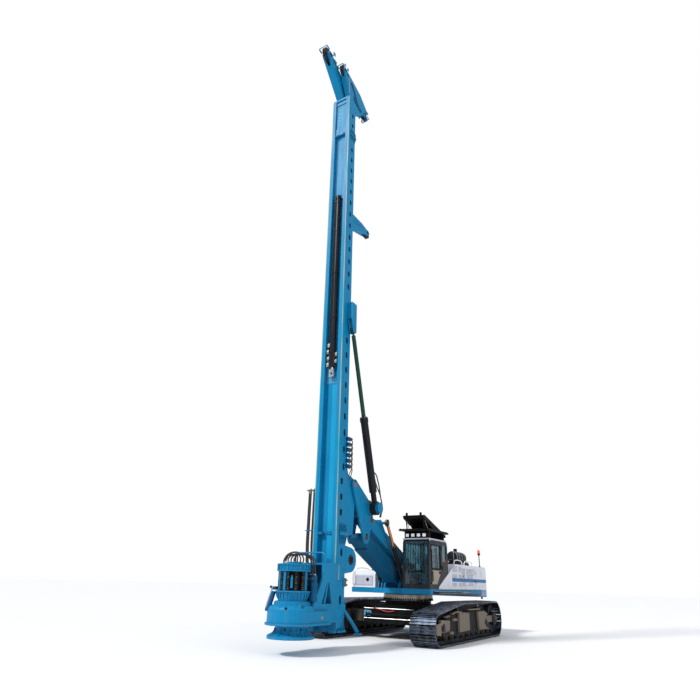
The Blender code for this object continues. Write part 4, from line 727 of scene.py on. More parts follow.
def car_body_fittings():
    """Ring bolts, centre box ribs, the telescopic ram between the frames and its hose."""
    low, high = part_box("slew_ring")
    ring = (high.x - low.x) / 2
    tooth = outline("tooth", [(ring - 0.05, -0.022), (ring + 0.012, -0.012), (ring + 0.012, 0.012),
        (ring - 0.05, 0.022)], low.z + 0.005, low.z + 0.085, "XY")
    tooth.data.transform(Matrix.Translation((SLEW_X, 0, 0)))
    teeth = [tooth, *copies(tooth, around_ring(RING_TEETH))]
    fit("slew_gear_teeth", teeth, "undercarriage", "iron")
    head = bolt("ring_bolt", at(ring - 0.05, 0, high.z - 0.002), (0, 0, 1), 0.036, 0.024)
    heads = [head, *copies(head, around_ring(RING_BOLTS))]
    fit("slew_ring_bolts", heads, "undercarriage", "zinc")

    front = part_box("car_body")[1].x
    ribs = [slab("rib", (front - 0.006, y, 0.47), (front + 0.02, y + 0.03, 0.86), 0.004)
        for y in (-0.62, -0.3, 0.27, 0.59)]
    pads = [slab("cover", (front - 0.004, -0.22, 0.55), (front + 0.012, 0.20, 0.80), 0.02)]
    fit("car_body_ribs", ribs + pads, "undercarriage", "black")
    ram = [rod("ram", (front + 0.06, -0.80, 0.72), (front + 0.06, 0.30, 0.72), 0.036),
        rod("ram_rod", (front + 0.06, 0.28, 0.72), (front + 0.06, 0.80, 0.72), 0.020)]
    fit("spread_ram", ram, "undercarriage", "black")
    rims = [rod("rim", (front + 0.012, -0.92, z), (front + 0.012, 0.92, z), 0.014, 8)
        for z in (0.60, 0.90)]
    fit("beam_rims", rims, "undercarriage", "zinc")
    eye = [turned("eye", [(0.085, 0), (0.085, 0.05), (0.045, 0.05), (0.04, 0.03)],
        (front + 0.008, -0.70, 0.75), (front + 1, -0.70, 0.75), 24), slab("eye_plate",
        (front - 0.004, -0.92, 0.665), (front + 0.03, -0.70, 0.835), 0.008)]
    fit("beam_eye", eye, "undercarriage", "pale_blue_and_sky_reflection")
    lugs = [slab("lug", (front - 0.01, y, 0.66), (front + 0.10, y + 0.03, 0.78), 0.01)
        for y in (-0.82, 0.79)]
    fit("spread_ram_lugs", lugs, "undercarriage", "black")
    line = hose("red_line", [(front + 0.02, -0.55, 0.90), (front + 0.08, -0.30, 0.88),
        (front + 0.09, -0.02, 0.82), (front + 0.03, 0.22, 0.84)], 0.016)
    wear(line, "undercarriage", "red")


car_body_fittings()

# ---------------------------------------------------------------- upper structure

HOOD_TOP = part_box("engine_hood")[1].z
DOOR_LOW, DOOR_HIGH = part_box("hood_door_left")
BEACON, EXHAUST = (-3.71, 1.48), (-2.75, -0.75)      # places on the hood's roof
BLADE_PITCH = 0.042

# louvre groups, as place, width, lower edge and number of blades
DOOR_LOUVRES = ((-2.54, 0.78, 2.04, 4), (-1.58, 0.28, 2.04, 4), (-2.42, 0.62, 1.925, 2),
    (-1.58, 0.28, 1.925, 2), (-2.42, 0.46, 1.68, 2), (-1.58, 0.28, 1.68, 2))
HOOD_LOUVRES = ((-0.77, 0.46, 2.12, 4), (-1.20, 0.26, 2.12, 4), (-0.73, 0.46, 1.925, 2),
    (-1.20, 0.26, 1.925, 2), (-0.68, 0.40, 1.65, 2), (-1.16, 0.24, 1.65, 2))


def louvres(groups, side, proud=0.010):
    """Pressed groups of louvres: the slanting blades, and the shallow pan behind each group, grey as
    painted shade between the blades.
    """
    y = side * HOUSE_SIDE
    blades, backs = [], []
    for x, width, z, count in groups:
        for i in range(count):
            low = z + i * BLADE_PITCH
            blades.append(outline("blade", [(y - side * 0.002, low), (y + side * proud, low + 0.004),
                (y + side * proud, low + 0.010), (y - side * 0.002, low + 0.030)][::side], ahead(x),
                ahead(x + width), "YZ"))
        near, thick = (y - 0.002, 0.004) if side > 0 else (y - proud, 0.006)
        backs.append(slab("back", (ahead(x - 0.012), near, z - 0.014),
            (ahead(x + width + 0.012), near + thick, z + count * BLADE_PITCH + 0.004), 0.002))
    return blades, backs


def hood_sides():
    """Louvre groups, latches and seams of the hood, its wing and the counterweight."""
    for name, side in SIDES:
        door, backs_door = louvres(DOOR_LOUVRES, side)
        fixed, backs_fixed = louvres(HOOD_LOUVRES, side)
        y = side * HOUSE_SIDE
        rim = []
        for z in (DOOR_LOW.z + 0.004, DOOR_HIGH.z - 0.016):
            rim.append(slab("rim", (DOOR_LOW.x + 0.03, y, z), (DOOR_HIGH.x - 0.004, y + side * 0.006,
                z + 0.012), 0.003))
        fit(f"hood_door_{name}_louvres", door + rim, f"hood_door_{name}", "plain_white")
        # the grey backs are painted shade between the blades
        fit(f"hood_door_{name}_louvre_shade_backs", backs_door, f"hood_door_{name}", "slot")
        fit(f"hood_{name}_louvres", fixed, "house", "plain_white")
        fit(f"hood_{name}_louvre_shade_backs", backs_fixed, "house", "slot")
        latch = slab("latch", (DOOR_HIGH.x - 0.10, y, 1.93), (DOOR_HIGH.x - 0.05, y + side * 0.014, 1.99),
            0.006)
        fit(f"hood_door_{name}_latch", [latch], f"hood_door_{name}", "black")
        face = y + side * 0.012
        panel = outline("panel", upright(((-4.02, 1.98), (-3.42, 1.98), (-3.42, 2.26), (-4.02, 2.26))),
            y + side * 0.001, face, edge=0.005)
        low, high = (y + 0.001, face + 0.006) if side > 0 else (face, y - 0.001)
        latch = slab("handle", (ahead(-3.50), low, 2.00), (ahead(-3.46), high, 2.16), 0.004)
        fit(f"counterweight_{name}_cover", [panel], "house", "plain_white")
        fit(f"counterweight_{name}_handle", [latch], "house", "shade")


def deck_sides():
    """Service recess along the deck's edge, black as painted shade, with its pipes, and the vented rear
    panel.
    """
    for name, side in SIDES:
        y = side * HOUSE_SIDE
        front = 1.50 if side > 0 else -0.30
        # black band, painted shade in the recess under the deck's edge
        back = slab("recess", (ahead(-2.10), y - side * 0.004, 1.385),
            (ahead(front), y + side * 0.006, 1.475), 0.004)
        fit(f"deck_{name}_recess", [back], "house", "black")
        pipes = []
        for z, start, end in ((1.408, -2.05, front - 0.5), (1.432, -2.05, -1.1),
                (1.455, -1.9, front - 0.1)):
            pipes.append(rod("pipe", at(start, y + side * 0.012, z), at(end, y + side * 0.012, z + 0.006),
                0.009, 10))
        fit(f"deck_{name}_pipes", pipes, "house", "zinc")
        clamps = [slab("clamp", (ahead(x), y, 1.395), (ahead(x + 0.05), y + side * 0.026, 1.47), 0.004)
            for x in (-1.95, -1.25, -0.55)]
        fit(f"deck_{name}_clamps", clamps, "house", "blue")
        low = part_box("counterweight")[0].z
        vents = [slab("vent", (ahead(x), y + side * 0.0005, low + 0.05),
            (ahead(x + 0.03), y + side * 0.010, low + 0.21), 0.003) for x in [-3.45 - 0.05 * i
            for i in range(9)]]
        fit(f"weight_{name}_vents", vents, "house", "shade")
        skirt = slab("skirt", (ahead(-3.92), y, low), (ahead(-3.37), y + side * 0.004, low + 0.245), 0.003)
        fit(f"weight_{name}_skirt", [skirt], "house", "blue")
        edge = slab("edge", (ahead(-3.34), y, 1.505), (ahead(1.20), y + side * 0.012, 1.533), 0.004)
        fit(f"deck_{name}_edge", [edge], "house", "blue")
    hook = [slab("hook", at(-3.78, y, 1.19), at(-3.68, y + 0.05, 1.29), 0.012) for y in (-1.5, 1.45)]
    fit("tie_down_hooks", hook, "house", "black")


def rails(name, runs, radius=0.017):
    """Bent tube handrails through their corner points."""
    tubes = []
    for points in runs:
        tubes.append(hose("rail", rounded(points, 0.09), radius, 8, resolution=3))
    return fit(name, tubes, "house", "plain_white")


def rounded(points, radius):
    """The points with each corner replaced by three on a bend."""
    points = [Vector(p) for p in points]
    bent = [points[0]]
    for before, corner, after in zip(points, points[1:], points[2:]):
        one = (before - corner).normalized() * radius
        two = (after - corner).normalized() * radius
        bent += [corner + one, corner + (one + two) * 0.29, corner + two]
    return bent + [points[-1]]


def hood_top():
    """Handrails, beacon, grab rails, roof doors, exhaust and the intake's pipework."""
    top = HOOD_TOP
    rails("hood_handrails", [[at(-0.74, 1.50, top - 0.01), at(-0.80, 1.50, top + 0.14),
        at(-1.55, 1.50, top + 0.14), at(-1.62, 1.50, top - 0.01)], [at(-1.80, 1.50, top - 0.01),
        at(-1.86, 1.50, top + 0.14), at(-2.66, 1.50, top + 0.14), at(-2.72, 1.50, top - 0.01)],
        [at(-1.00, -1.50, top - 0.01), at(-1.04, -1.50, top + 0.20), at(-3.2, -1.50, top + 0.20),
        at(-3.26, -1.50, top - 0.01)]])
    pole = [rod("pole", at(*BEACON, top - 0.01), at(*BEACON, top + 0.46), 0.016),
        turned("base", [(0.05, 0), (0.05, 0.02), (0.024, 0.05)], at(*BEACON, top - 0.004), None, 16),
        turned("cup", [(0.03, 0), (0.055, 0.04), (0.055, 0.09)], at(*BEACON, top + 0.44), None, 20)]
    fit("beacon_pole", pole, "house", "black")
    dome = turned("beacon_dome", [(0.052, 0), (0.054, 0.07), (0.046, 0.11), (0.026, 0.135),
        (0.008, 0.142)], at(*BEACON, top + 0.525), None, 24)
    wear(dome, "house", "beacon")
    doors = []
    for x, y, long, wide in ((-2.2, -1.0, 1.1, 0.8), (-0.95, -0.2, 0.55, 0.9), (-2.9, 0.02, 0.7, 0.6)):
        doors.append(slab("roof_door", at(x - long / 2, y - wide / 2, top - 0.003),
            at(x + long / 2, y + wide / 2, top + 0.022), 0.010, 2))
    weight_lugs = [slab("lug", at(-3.9, y, top - 0.01), at(-3.78, y + 0.06, top + 0.10), 0.02)
        for y in (-1.0, 0.94)]
    fit("hood_roof_doors", doors, "house", "plain_white")
    fit("weight_lifting_lugs", weight_lugs, "house", "plain_white")
    pipe = [rod("exhaust", at(*EXHAUST, top - 0.01), at(*EXHAUST, top + 0.30), 0.075, 20),
        hose("tip", [at(*EXHAUST, top + 0.28), at(-2.78, -0.75, top + 0.40), at(-2.90, -0.75, top + 0.50)],
        0.062, 16)]
    fit("exhaust_stack", pipe, "house", "black")
    bands = []
    for x in (-1.92, -2.18, -2.48, -2.78):
        bands.append(turned("band", [(0.212, 0), (0.219, 0.006), (0.219, 0.034), (0.212, 0.04)],
            at(x, 1.00, top + 0.30), at(x - 1, 1.00, top + 0.30), 28))
    caps = turned("air_cleaner_cap", [(0.205, 0), (0.195, 0.03), (0.14, 0.045), (0.05, 0.05)],
        at(-1.90, 1.0, top + 0.30), at(0, 1.0, top + 0.30), 28)
    fit("air_cleaner_bands", bands, "house", "slot")
    wear(caps, "house", "black")
    lines = [hose("line", [at(-1.70, 0.80, top ), at(-1.78, 0.92, top + 0.18), at(-2.1, 1.14, top + 0.22),
        at(-2.7, 1.20, top + 0.20), at(-3.1, 1.18, top + 0.12), at(-3.2, 1.10, top)], 0.022, 10),
        hose("line", [at(-2.95, 0.86, top), at(-3.05, 0.86, top + 0.26), at(-3.22, 0.90, top + 0.34),
        at(-3.36, 0.98, top + 0.18), at(-3.33, 1.06, top )], 0.030, 10)]
    fit("intake_hoses", lines, "house", "rubber")
    aerial = [rod("aerial", at(-1.55, 1.2, top - 0.01), at(-1.55, 1.2, top + 0.46), 0.006, 8),
        rod("cross", at(-1.62, 1.2, top + 0.44), at(-1.48, 1.2, top + 0.44), 0.006, 8)]
    fit("aerial", aerial, "house", "zinc")


def tank_fittings():
    """Filler cap, gauge, handrails, panel and strap."""
    low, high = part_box("fuel_tank")
    cap = [turned("cap", [(0.07, 0), (0.07, 0.02), (0.055, 0.03), (0.055, 0.05), (0.03, 0.055)],
        (low.x + 0.55, (low.y + high.y) / 2, high.z - 0.003), None, 20)]
    cap.append(turned("gauge", [(0.06, 0), (0.06, 0.012), (0.045, 0.016)],
        (high.x - 0.002, high.y - 0.30, 1.78), (high.x + 1, high.y - 0.30, 1.78), 20))
    fit("tank_filler_cap", cap, "house", "black")
    rails("tank_handrails", [[(high.x - 0.06, low.y + 0.05, 1.60), (high.x + 0.10, low.y + 0.05, 1.62),
        (high.x + 0.10, low.y + 0.05, 2.02), (high.x - 0.06, low.y + 0.05, 2.02)],
        [(low.x + 0.1, low.y + 0.04, high.z - 0.01), (low.x + 0.1, low.y + 0.04, high.z + 0.07),
        (high.x - 0.2, low.y + 0.04, high.z + 0.07), (high.x - 0.2, low.y + 0.04, high.z - 0.01)]], 0.014)
    panel = slab("panel", (high.x - 0.004, low.y + 0.12, 1.60), (high.x + 0.008, high.y - 0.10, 1.90),
        0.02, 2)
    strap = slab("strap", (low.x + 0.3, low.y - 0.004, 1.54), (low.x + 0.36, high.y + 0.004,
        high.z + 0.004), 0.003)
    fit("tank_panels", [panel, strap], "house", "shade")


hood_sides()
deck_sides()
hood_top()
tank_fittings()

# ---------------------------------------------------------------- cab

CAB_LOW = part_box("cab_body")[0]
CAB_SIDE = at(0, 1.578, 0).y
CAB_INNER = CAB_LOW.y


def cab_point(x, z):
    """A point of the cab's side view, as (x, z)."""
    return (SLEW_X + x, z)


def cab_glass():
    """Panes set in the middle of the cab's walls and in its door."""
    front = outline("front_pane", [cab_point(*p) for p in ((1.690, 1.60), (1.698, 1.60), (1.698, 1.952),
        (1.622, 2.995), (1.614, 2.995), (1.690, 1.948))], CAB_INNER + 0.06, CAB_SIDE - 0.06)
    quarter = slab("quarter", at(0.14, CAB_SIDE - 0.030, 2.34), at(0.56, CAB_SIDE - 0.022, 2.96), 0.002)
    right = slab("right", at(0.26, CAB_INNER + 0.022, 2.06), at(1.54, CAB_INNER + 0.030, 2.96), 0.002)
    rear = slab("rear", at(0.062, CAB_INNER + 0.10, 2.36), at(0.070, CAB_SIDE - 0.10, 2.96), 0.002)
    fit("cab_windows", [front, quarter, right, rear], "house", "glass")
    pane = slab("pane", at(0.68, CAB_SIDE - 0.030, 2.12), at(1.52, CAB_SIDE - 0.022, 2.92), 0.002)
    fit("door_window", [pane], "cab_door", "glass")


def cab_front():
    """Bars and mesh before the front glass, wiper, sill, frame strips and grab rails."""
    bars = []
    for i in range(7):
        y = CAB_INNER + 0.20 + i * 0.092
        bars.append(hose("bar", [at(1.705, y, 2.02), at(1.72, y, 2.06), at(1.655, y, 2.90),
            at(1.635, y, 2.93)], 0.009, 6, resolution=2))
    for z, x in ((2.06, 1.72), (2.90, 1.657)):
        bars.append(rod("cross", at(x, CAB_INNER + 0.17, z), at(x, CAB_INNER + 0.78, z), 0.011, 8))
    for i in range(6):
        y = CAB_INNER + 0.28 + i * 0.075
        bars.append(rod("mesh", at(1.726, y, 1.66), at(1.726, y, 1.93), 0.006, 6))
    for z in (1.68, 1.76, 1.84, 1.92):
        bars.append(rod("mesh", at(1.728, CAB_INNER + 0.26, z), at(1.728, CAB_INNER + 0.68, z), 0.006, 6))
    bars.append(rod("wiper", at(1.722, CAB_INNER + 0.72, 2.00), at(1.690, CAB_INNER + 0.42, 2.66), 0.008,
        6))
    bars.append(rod("blade", at(1.716, CAB_INNER + 0.46, 2.30), at(1.668, CAB_INNER + 0.38, 2.86), 0.006,
        6))
    fit("front_guard_bars", bars, "house", "black")
    strips = [outline("strip", [cab_point(*p) for p in ((1.722, 1.55), (1.73, 1.55), (1.73, 1.95),
        (1.652, 2.99), (1.644, 2.99), (1.722, 1.95))], y, y + 0.05) for y in (CAB_INNER + 0.01,
        CAB_SIDE - 0.06)]
    strips.append(slab("sill", at(1.70, CAB_INNER + 0.01, 1.535), at(1.74, CAB_SIDE - 0.01, 1.64), 0.01))
    fit("front_frame_strips", strips, "house", "cab")
    # pale grey cornice along the roof's edge, painted highlight
    head = slab("head", at(1.50, CAB_INNER + 0.01, 3.045), at(1.665, CAB_SIDE + 0.004, 3.09), 0.014, 2)
    side = outline("cornice", [cab_point(*p) for p in ((0.04, 2.90), (0.08, 2.90), (0.16, 3.04),
        (1.50, 3.04), (1.60, 2.99), (1.62, 3.02), (1.53, 3.09), (0.14, 3.09), (0.03, 2.98))],
        CAB_SIDE - 0.02, CAB_SIDE + 0.008, edge=0.005)
    fit("cab_cornice_painted_highlight", [head, side], "house", "shade")
    rail = [hose("grab", rounded([at(1.66, CAB_SIDE + 0.00, 1.70), at(1.67, CAB_SIDE + 0.07, 1.72),
        at(1.62, CAB_SIDE + 0.07, 2.68), at(1.62, CAB_SIDE + 0.00, 2.70)], 0.03), 0.013, 8, resolution=3)]
    fit("cab_grab_rail", rail, "house", "black")


def cab_lamps():
    """Four work lamps in a bar over the cab's front, and two on the guard's rear."""
    low, high = 3.10, 3.27
    case = slab("case", at(1.53, CAB_INNER + 0.04, low - 0.01), at(1.60, CAB_SIDE - 0.04, high), 0.012, 2)
    shells, lenses = [case], []
    for i in range(4):
        y = CAB_INNER + 0.17 + i * 0.205
        shells.append(slab("shell", at(1.58, y - 0.085, low + 0.005), at(1.645, y + 0.085, high - 0.005),
            0.018, 2))
        lenses.append(slab("lens", at(1.638, y - 0.056, low + 0.035), at(1.654, y + 0.056, high - 0.040),
            0.012, 3))
    for y in (CAB_INNER + 0.1, CAB_SIDE - 0.1):
        shells.append(slab("rear_shell", at(0.02, y - 0.06, 3.20), at(0.08, y + 0.06, 3.30), 0.012))
        lenses.append(slab("rear_lens", at(0.008, y - 0.045, 3.212), at(0.024, y + 0.045, 3.288), 0.008))
    fit("work_lamp_cases", shells, "house", "black")
    fit("work_lamps", lenses, "house", "lamp")


def roof_guard_fittings():
    """Frame bars, gas struts, clamps, hinges and ribs of the roof guard and its hatch."""
    left, right = CAB_INNER - 0.03, CAB_SIDE + 0.05
    pieces = []
    for y in (left + 0.02, right - 0.02):
        pieces.append(rod("edge", at(0.0, y, 3.37), at(1.86, y, 3.37), 0.016, 8))
        pieces.append(rod("strut", at(0.75, y - 0.05 if y > 1 else y + 0.05, 3.36),
            at(1.35, y - 0.10 if y > 1 else y + 0.10, 3.62), 0.014, 8))
    for x in (0.02, 0.62, 1.24, 1.84):
        pieces.append(rod("rung", at(x, left, 3.36), at(x, right, 3.36), 0.014, 8))
    for y in (CAB_INNER + 0.22, CAB_SIDE - 0.22):
        pieces.append(slab("clamp", at(1.72, y - 0.03, 3.72), at(1.80, y + 0.03, 3.90), 0.012))
        pieces.append(slab("hinge", at(0.28, y - 0.05, 3.36), at(0.42, y + 0.05, 3.45), 0.012))
    for x in (0.5, 0.95, 1.4):
        pieces.append(slab("hatch_rib", at(x, CAB_INNER + 0.12, 3.34 + (x - 0.30) * 0.285 + 0.055),
            at(x + 0.05, CAB_SIDE - 0.12, 3.34 + (x - 0.30) * 0.285 + 0.115), 0.012))
    fit("roof_guard_frame", pieces, "house", "black")
    steel = [rod("gas", at(1.40, y, 3.40), at(1.62, y, 3.66), 0.010, 8)
        for y in (CAB_INNER + 0.14, CAB_SIDE - 0.14)]
    fit("hatch_gas_struts", steel, "house", "chrome")


def cab_door_fittings():
    """Beige lower panel as painted reflection of the ground in the door's lower glass, window frame, lock,
    handle and the red emergency hammer.
    """
    y = CAB_SIDE
    # beige panel, painted reflection of the ground in the lower glass
    panel = outline("panel", [cab_point(*p) for p in ((1.50, 1.68), (1.08, 1.68), (0.72, 2.05),
        (0.72, 2.10), (1.50, 2.10))], y - 0.004, y + 0.005, edge=0.002)
    fit("door_lower_painted_reflection", [panel], "cab_door", "painted_ground_reflection")
    frame_bars = []
    for low, high in (((0.695, 2.12), (1.505, 2.17)), ((0.695, 2.865), (1.505, 2.905)),
            ((0.695, 2.12), (0.735, 2.90)), ((1.465, 2.12), (1.505, 2.90)), ((1.02, 2.14), (1.045, 2.89))):
        frame_bars.append(slab("bar", at(low[0], y - 0.004, low[1]), at(high[0], y + 0.012, high[1]),
            0.005))
    frame_bars.append(slab("lock", at(0.74, y - 0.002, 2.00), at(0.90, y + 0.020, 2.08), 0.008))
    frame_bars.append(rod("handle", at(1.47, y + 0.03, 1.78), at(1.47, y + 0.03, 2.06), 0.012, 10))
    for z in (1.78, 2.05):
        frame_bars.append(rod("foot", at(1.47, y - 0.002, z), at(1.47, y + 0.035, z), 0.010, 8))
    fit("door_frame_bars", frame_bars, "cab_door", "black")
    hammer = [rod("handle", at(0.46, y - 0.016, 2.27), at(0.20, y - 0.016, 2.42), 0.014, 8),
        rod("head", at(0.16, y - 0.016, 2.37), at(0.22, y - 0.016, 2.46), 0.020, 8)]
    fit("escape_hammer", hammer, "house", "red")


def cab_inside():
    """Consoles, levers, pedals and screen."""
    mid = (CAB_INNER + CAB_SIDE) / 2
    cases = [slab("floor_mat", at(0.10, CAB_INNER + 0.06, 1.585), at(1.60, CAB_SIDE - 0.06, 1.598), 0.004)]
    for y in (mid - 0.34, mid + 0.25):
        cases.append(slab("console", at(0.50, y, 1.60), at(1.10, y + 0.10, 2.12), 0.03, 3))
        cases.append(rod("lever", at(1.02, y + 0.05, 2.11), at(1.06, y + 0.05, 2.28), 0.012, 8))
        cases.append(turned("knob", [(0.018, 0), (0.028, 0.03), (0.026, 0.08), (0.010, 0.10)],
            at(1.06, y + 0.05, 2.26), None, 12))
    cases.append(slab("dash", at(1.40, CAB_INNER + 0.08, 1.60), at(1.56, CAB_INNER + 0.30, 2.05), 0.03, 2))
    cases.append(slab("screen", at(1.42, CAB_INNER + 0.08, 2.10), at(1.46, CAB_INNER + 0.34, 2.30), 0.012,
        2))
    for y in (mid - 0.1, mid + 0.06):
        cases.append(slab("pedal", at(1.36, y - 0.05, 1.60), at(1.46, y + 0.05, 1.72), 0.01))
    fit("cab_consoles", cases, "house", "black")


def pad(name, middle, size, crown, channels, lean=0.0):
    """A stuffed pad: crowned, its sides pulled in between the corners, with sewn channels."""
    calm()
    bpy.ops.mesh.primitive_cube_add(size=2, location=(0, 0, 0))
    piece = named(name)
    bpy.ops.object.mode_set(mode="EDIT")
    bpy.ops.mesh.select_all(action="SELECT")
    bpy.ops.mesh.subdivide(number_cuts=11)
    done(piece)
    for vertex in piece.data.vertices:
        u, v, w = vertex.co
        swell = (1 - u ** 4) * (1 - v ** 4)
        sewn = sum(math.exp(-((v - line) / 0.05) ** 2) for line in channels)
        depth = 1 - crown + crown * swell - 0.14 * sewn * (w > 0)
        pull = 0.05 * (1 - abs(w)) + 0.02
        vertex.co = Vector((u * (1 - pull * (1 - v * v) - 0.03 * v ** 6), v * (1 - pull * (1 - u * u)),
            w * (depth if w > 0 else 1 - 0.5 * crown * (1 - swell))))
    piece.scale = Vector(size) / 2
    piece.rotation_euler = (0, math.radians(lean), 0)
    piece.location = middle
    settle()
    calm()
    piece.select_set(True)
    soften = piece.modifiers.new("soften", "SUBSURF")
    soften.levels = soften.render_levels = 1
    bpy.ops.object.modifier_apply(modifier="soften")
    return done(piece, True)


def padded_seat():
    """Cushion, backrest and headrest with sewn channels, on a boxed suspension base."""
    mid = (CAB_INNER + CAB_SIDE) / 2
    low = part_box("operator_seat")[0].z
    cushion = pad("seat_cushion", at(0.63, mid, 1.925), (0.54, 0.49, 0.15), 0.30, (-0.5, 0.5))
    back = pad("seat_backrest", at(0.315, mid, 2.31), (0.68, 0.46, 0.14), 0.30, (-0.5, 0.5), -99.6)
    rest = pad("headrest", at(0.235, mid, 2.76), (0.17, 0.26, 0.10), 0.4, (), -99.6)
    for piece, fill in ((cushion, 0.8), (back, 0.8), (rest, 0.7)):
        wear(piece, "house", "cloth")
    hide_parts("operator_seat")
    base = [slab("pan", at(0.40, mid - 0.21, 1.80), at(0.86, mid + 0.21, 1.85), 0.015, 2),
        slab("bellows", at(0.44, mid - 0.17, low), at(0.82, mid + 0.17, 1.81), 0.03, 2),
        slab("shell", at(0.215, mid - 0.18, 1.95), at(0.25, mid + 0.18, 2.30), 0.012)]
    base += [rod("headrest_stay", at(0.26, mid + y, 2.60), at(0.235, mid + y, 2.72), 0.008, 8)
        for y in (-0.06, 0.06)]
    fit("seat_base", base, "house", "black")


cab_glass()
cab_front()
cab_lamps()
roof_guard_fittings()
cab_door_fittings()
cab_inside()
padded_seat()

# ---------------------------------------------------------------- boom, link, rocker and cylinders

ROCKER_FACE = 0.305          # outer faces of the rocker's plates, from the centre
BOOM_ENDS = ((1.00, 1.82), (3.60, 2.95))
LINK_ENDS = ((0.65, 2.37), (3.25, 3.50))
MAST_PIVOT = (4.35, 4.48)
DRUM = (3.40, 3.87)
LUFF_ENDS = ((1.22, 1.66), (2.42, 3.52))
STAY_ENDS = ((3.40, 3.87), (5.02, 9.52))
LUFF_Y, STAY_Y = 0.42, 0.50


def along(ends, share, out=0.0, y=0.0):
    """A point at a share of the way between two ends, moved out square to the line."""
    (ax, az), (bx, bz) = ends
    length = math.dist(*ends)
    return at(ax + (bx - ax) * share - (bz - az) / length * out, y, az + (bz - az) * share + (bx - ax) /
        length * out)


def strip(name, ends, shares, outs, low, high, edge=0.004):
    """A plate lying along a link, between two shares and two offsets."""
    corners = [along(ends, s, o) for s, o in ((shares[0], outs[0]), (shares[1], outs[0]),
        (shares[1], outs[1]), (shares[0], outs[1]))]
    return outline(name, [(c.x, c.z) for c in corners], low, high, edge=edge)


def pivots(name, places, body, radius=0.075):
    """Pin end, keeper plate and its two bolts on both sides of each pivot."""
    caps, keepers = [], []
    for x, z in places:
        for side in (-1, 1):
            base = at(x, side * (ROCKER_FACE - 0.004), z)
            out = Vector((0, side, 0))
            caps.append(turned("pin_end", [(radius, 0), (radius, 0.018), (radius * 0.86, 0.026),
                (radius * 0.3, 0.026), (radius * 0.25, 0.018)], base, base + out, 24))
            keepers.append(slab("keeper", base + Vector((-0.035, 0, 0.055)),
                base + Vector((0.035, side * 0.02, 0.135)), 0.004))
            for shift in (-0.02, 0.02):
                keepers.append(bolt("keeper_bolt", base + Vector((shift, side * 0.018, 0.11)), out, 0.022,
                    0.014))
    fit(name + "_pin_ends", caps, body, "rust")
    fit(name + "_keepers", keepers, body, "iron")


def rocker_fittings():
    """Pressed rings, doubler plates, drum ends and pivot pins on the rocker."""
    rings = []
    for side in (-1, 1):
        y = side * (ROCKER_FACE - 0.002)
        for place, radius in (((3.93, 4.06), 0.105), ((3.66, 3.40), 0.165), (DRUM, 0.235)):
            base = at(place[0], y, place[1])
            rings.append(turned("ring", [(radius, 0), (radius, 0.010), (radius - 0.010, 0.014),
                (radius - 0.022, 0.014), (radius - 0.030, 0.004)], base, base + Vector((0, side, 0)), 36))
        drum_end = at(DRUM[0], side * 0.678, DRUM[1])
        rings.append(turned("drum_end", [(0.172, 0), (0.176, 0.006), (0.176, 0.018), (0.150, 0.024),
            (0.150, 0.016), (0.060, 0.016), (0.05, 0.024)], drum_end, drum_end + Vector((0, side, 0)), 36))
        drum_root = at(DRUM[0], side * 0.30, DRUM[1])
        rings.append(turned("drum_root", [(0.20, 0), (0.20, 0.03), (0.176, 0.06), (0.168, 0.06)],
            drum_root, drum_root + Vector((0, side, 0)), 32))
        rings.append(outline("doubler", upright(((4.20, 4.40), (4.42, 4.26), (4.50, 4.52), (4.36, 4.62),
            (4.22, 4.58))), y, y + side * 0.014, edge=0.003))
    fit("rocker_rings", rings, "rocker", "blue")
    pivots("rocker", (BOOM_ENDS[1], LINK_ENDS[1], MAST_PIVOT), "rocker")


def beam_plates():
    """Overhanging top and bottom plates, seams and raised marks of boom and upper link."""
    boom = [strip("plate", BOOM_ENDS, (0.06, 0.90), (0.218, 0.240), -0.238, 0.238),
        strip("plate", BOOM_ENDS, (0.06, 0.90), (-0.240, -0.218), -0.238, 0.238)]
    for side in (-1, 1):
        for share in (0.18, 0.42, 0.66):
            boom.append(strip("stiffener", BOOM_ENDS, (share, share + 0.012), (-0.20, 0.20), side * 0.226,
                side * 0.240))
        for share in (0.30, 0.54, 0.78):
            base = along(BOOM_ENDS, share, 0.0, side * 0.228)
            boom.append(turned("boss", [(0.075, 0), (0.075, 0.008), (0.06, 0.012), (0.03, 0.012)], base,
                base + Vector((0, side, 0)), 20))
    ribs = [strip("rib", BOOM_ENDS, (share, share + 0.010), (0.236, 0.285), -0.20, 0.20)
        for share in (0.84, 0.88)]
    # the boom's plates take the darker blue, painted shade
    fit("boom_plates", boom + ribs, "boom", "boom_painted_shade_blue")
    link = [strip("plate", LINK_ENDS, (0.06, 0.92), (0.192, 0.210), -0.225, 0.225),
        strip("plate", LINK_ENDS, (0.06, 0.92), (-0.210, -0.192), -0.225, 0.225)]
    fit("upper_link_plates", link, "upper_link", "blue")
    pivots("link_foot", (BOOM_ENDS[0], LINK_ENDS[0]), "house")
    dots = []
    for share in (0.46, 0.58):
        for out in (0.06, -0.08):
            base = along(LINK_ENDS, share, out, 0.208)
            dots.append(turned("cap", [(0.03, 0), (0.03, 0.012), (0.015, 0.018)], base,
                base + Vector((0, 1, 0)), 10))
    fit("upper_link_plugs", dots, "upper_link", "rust")


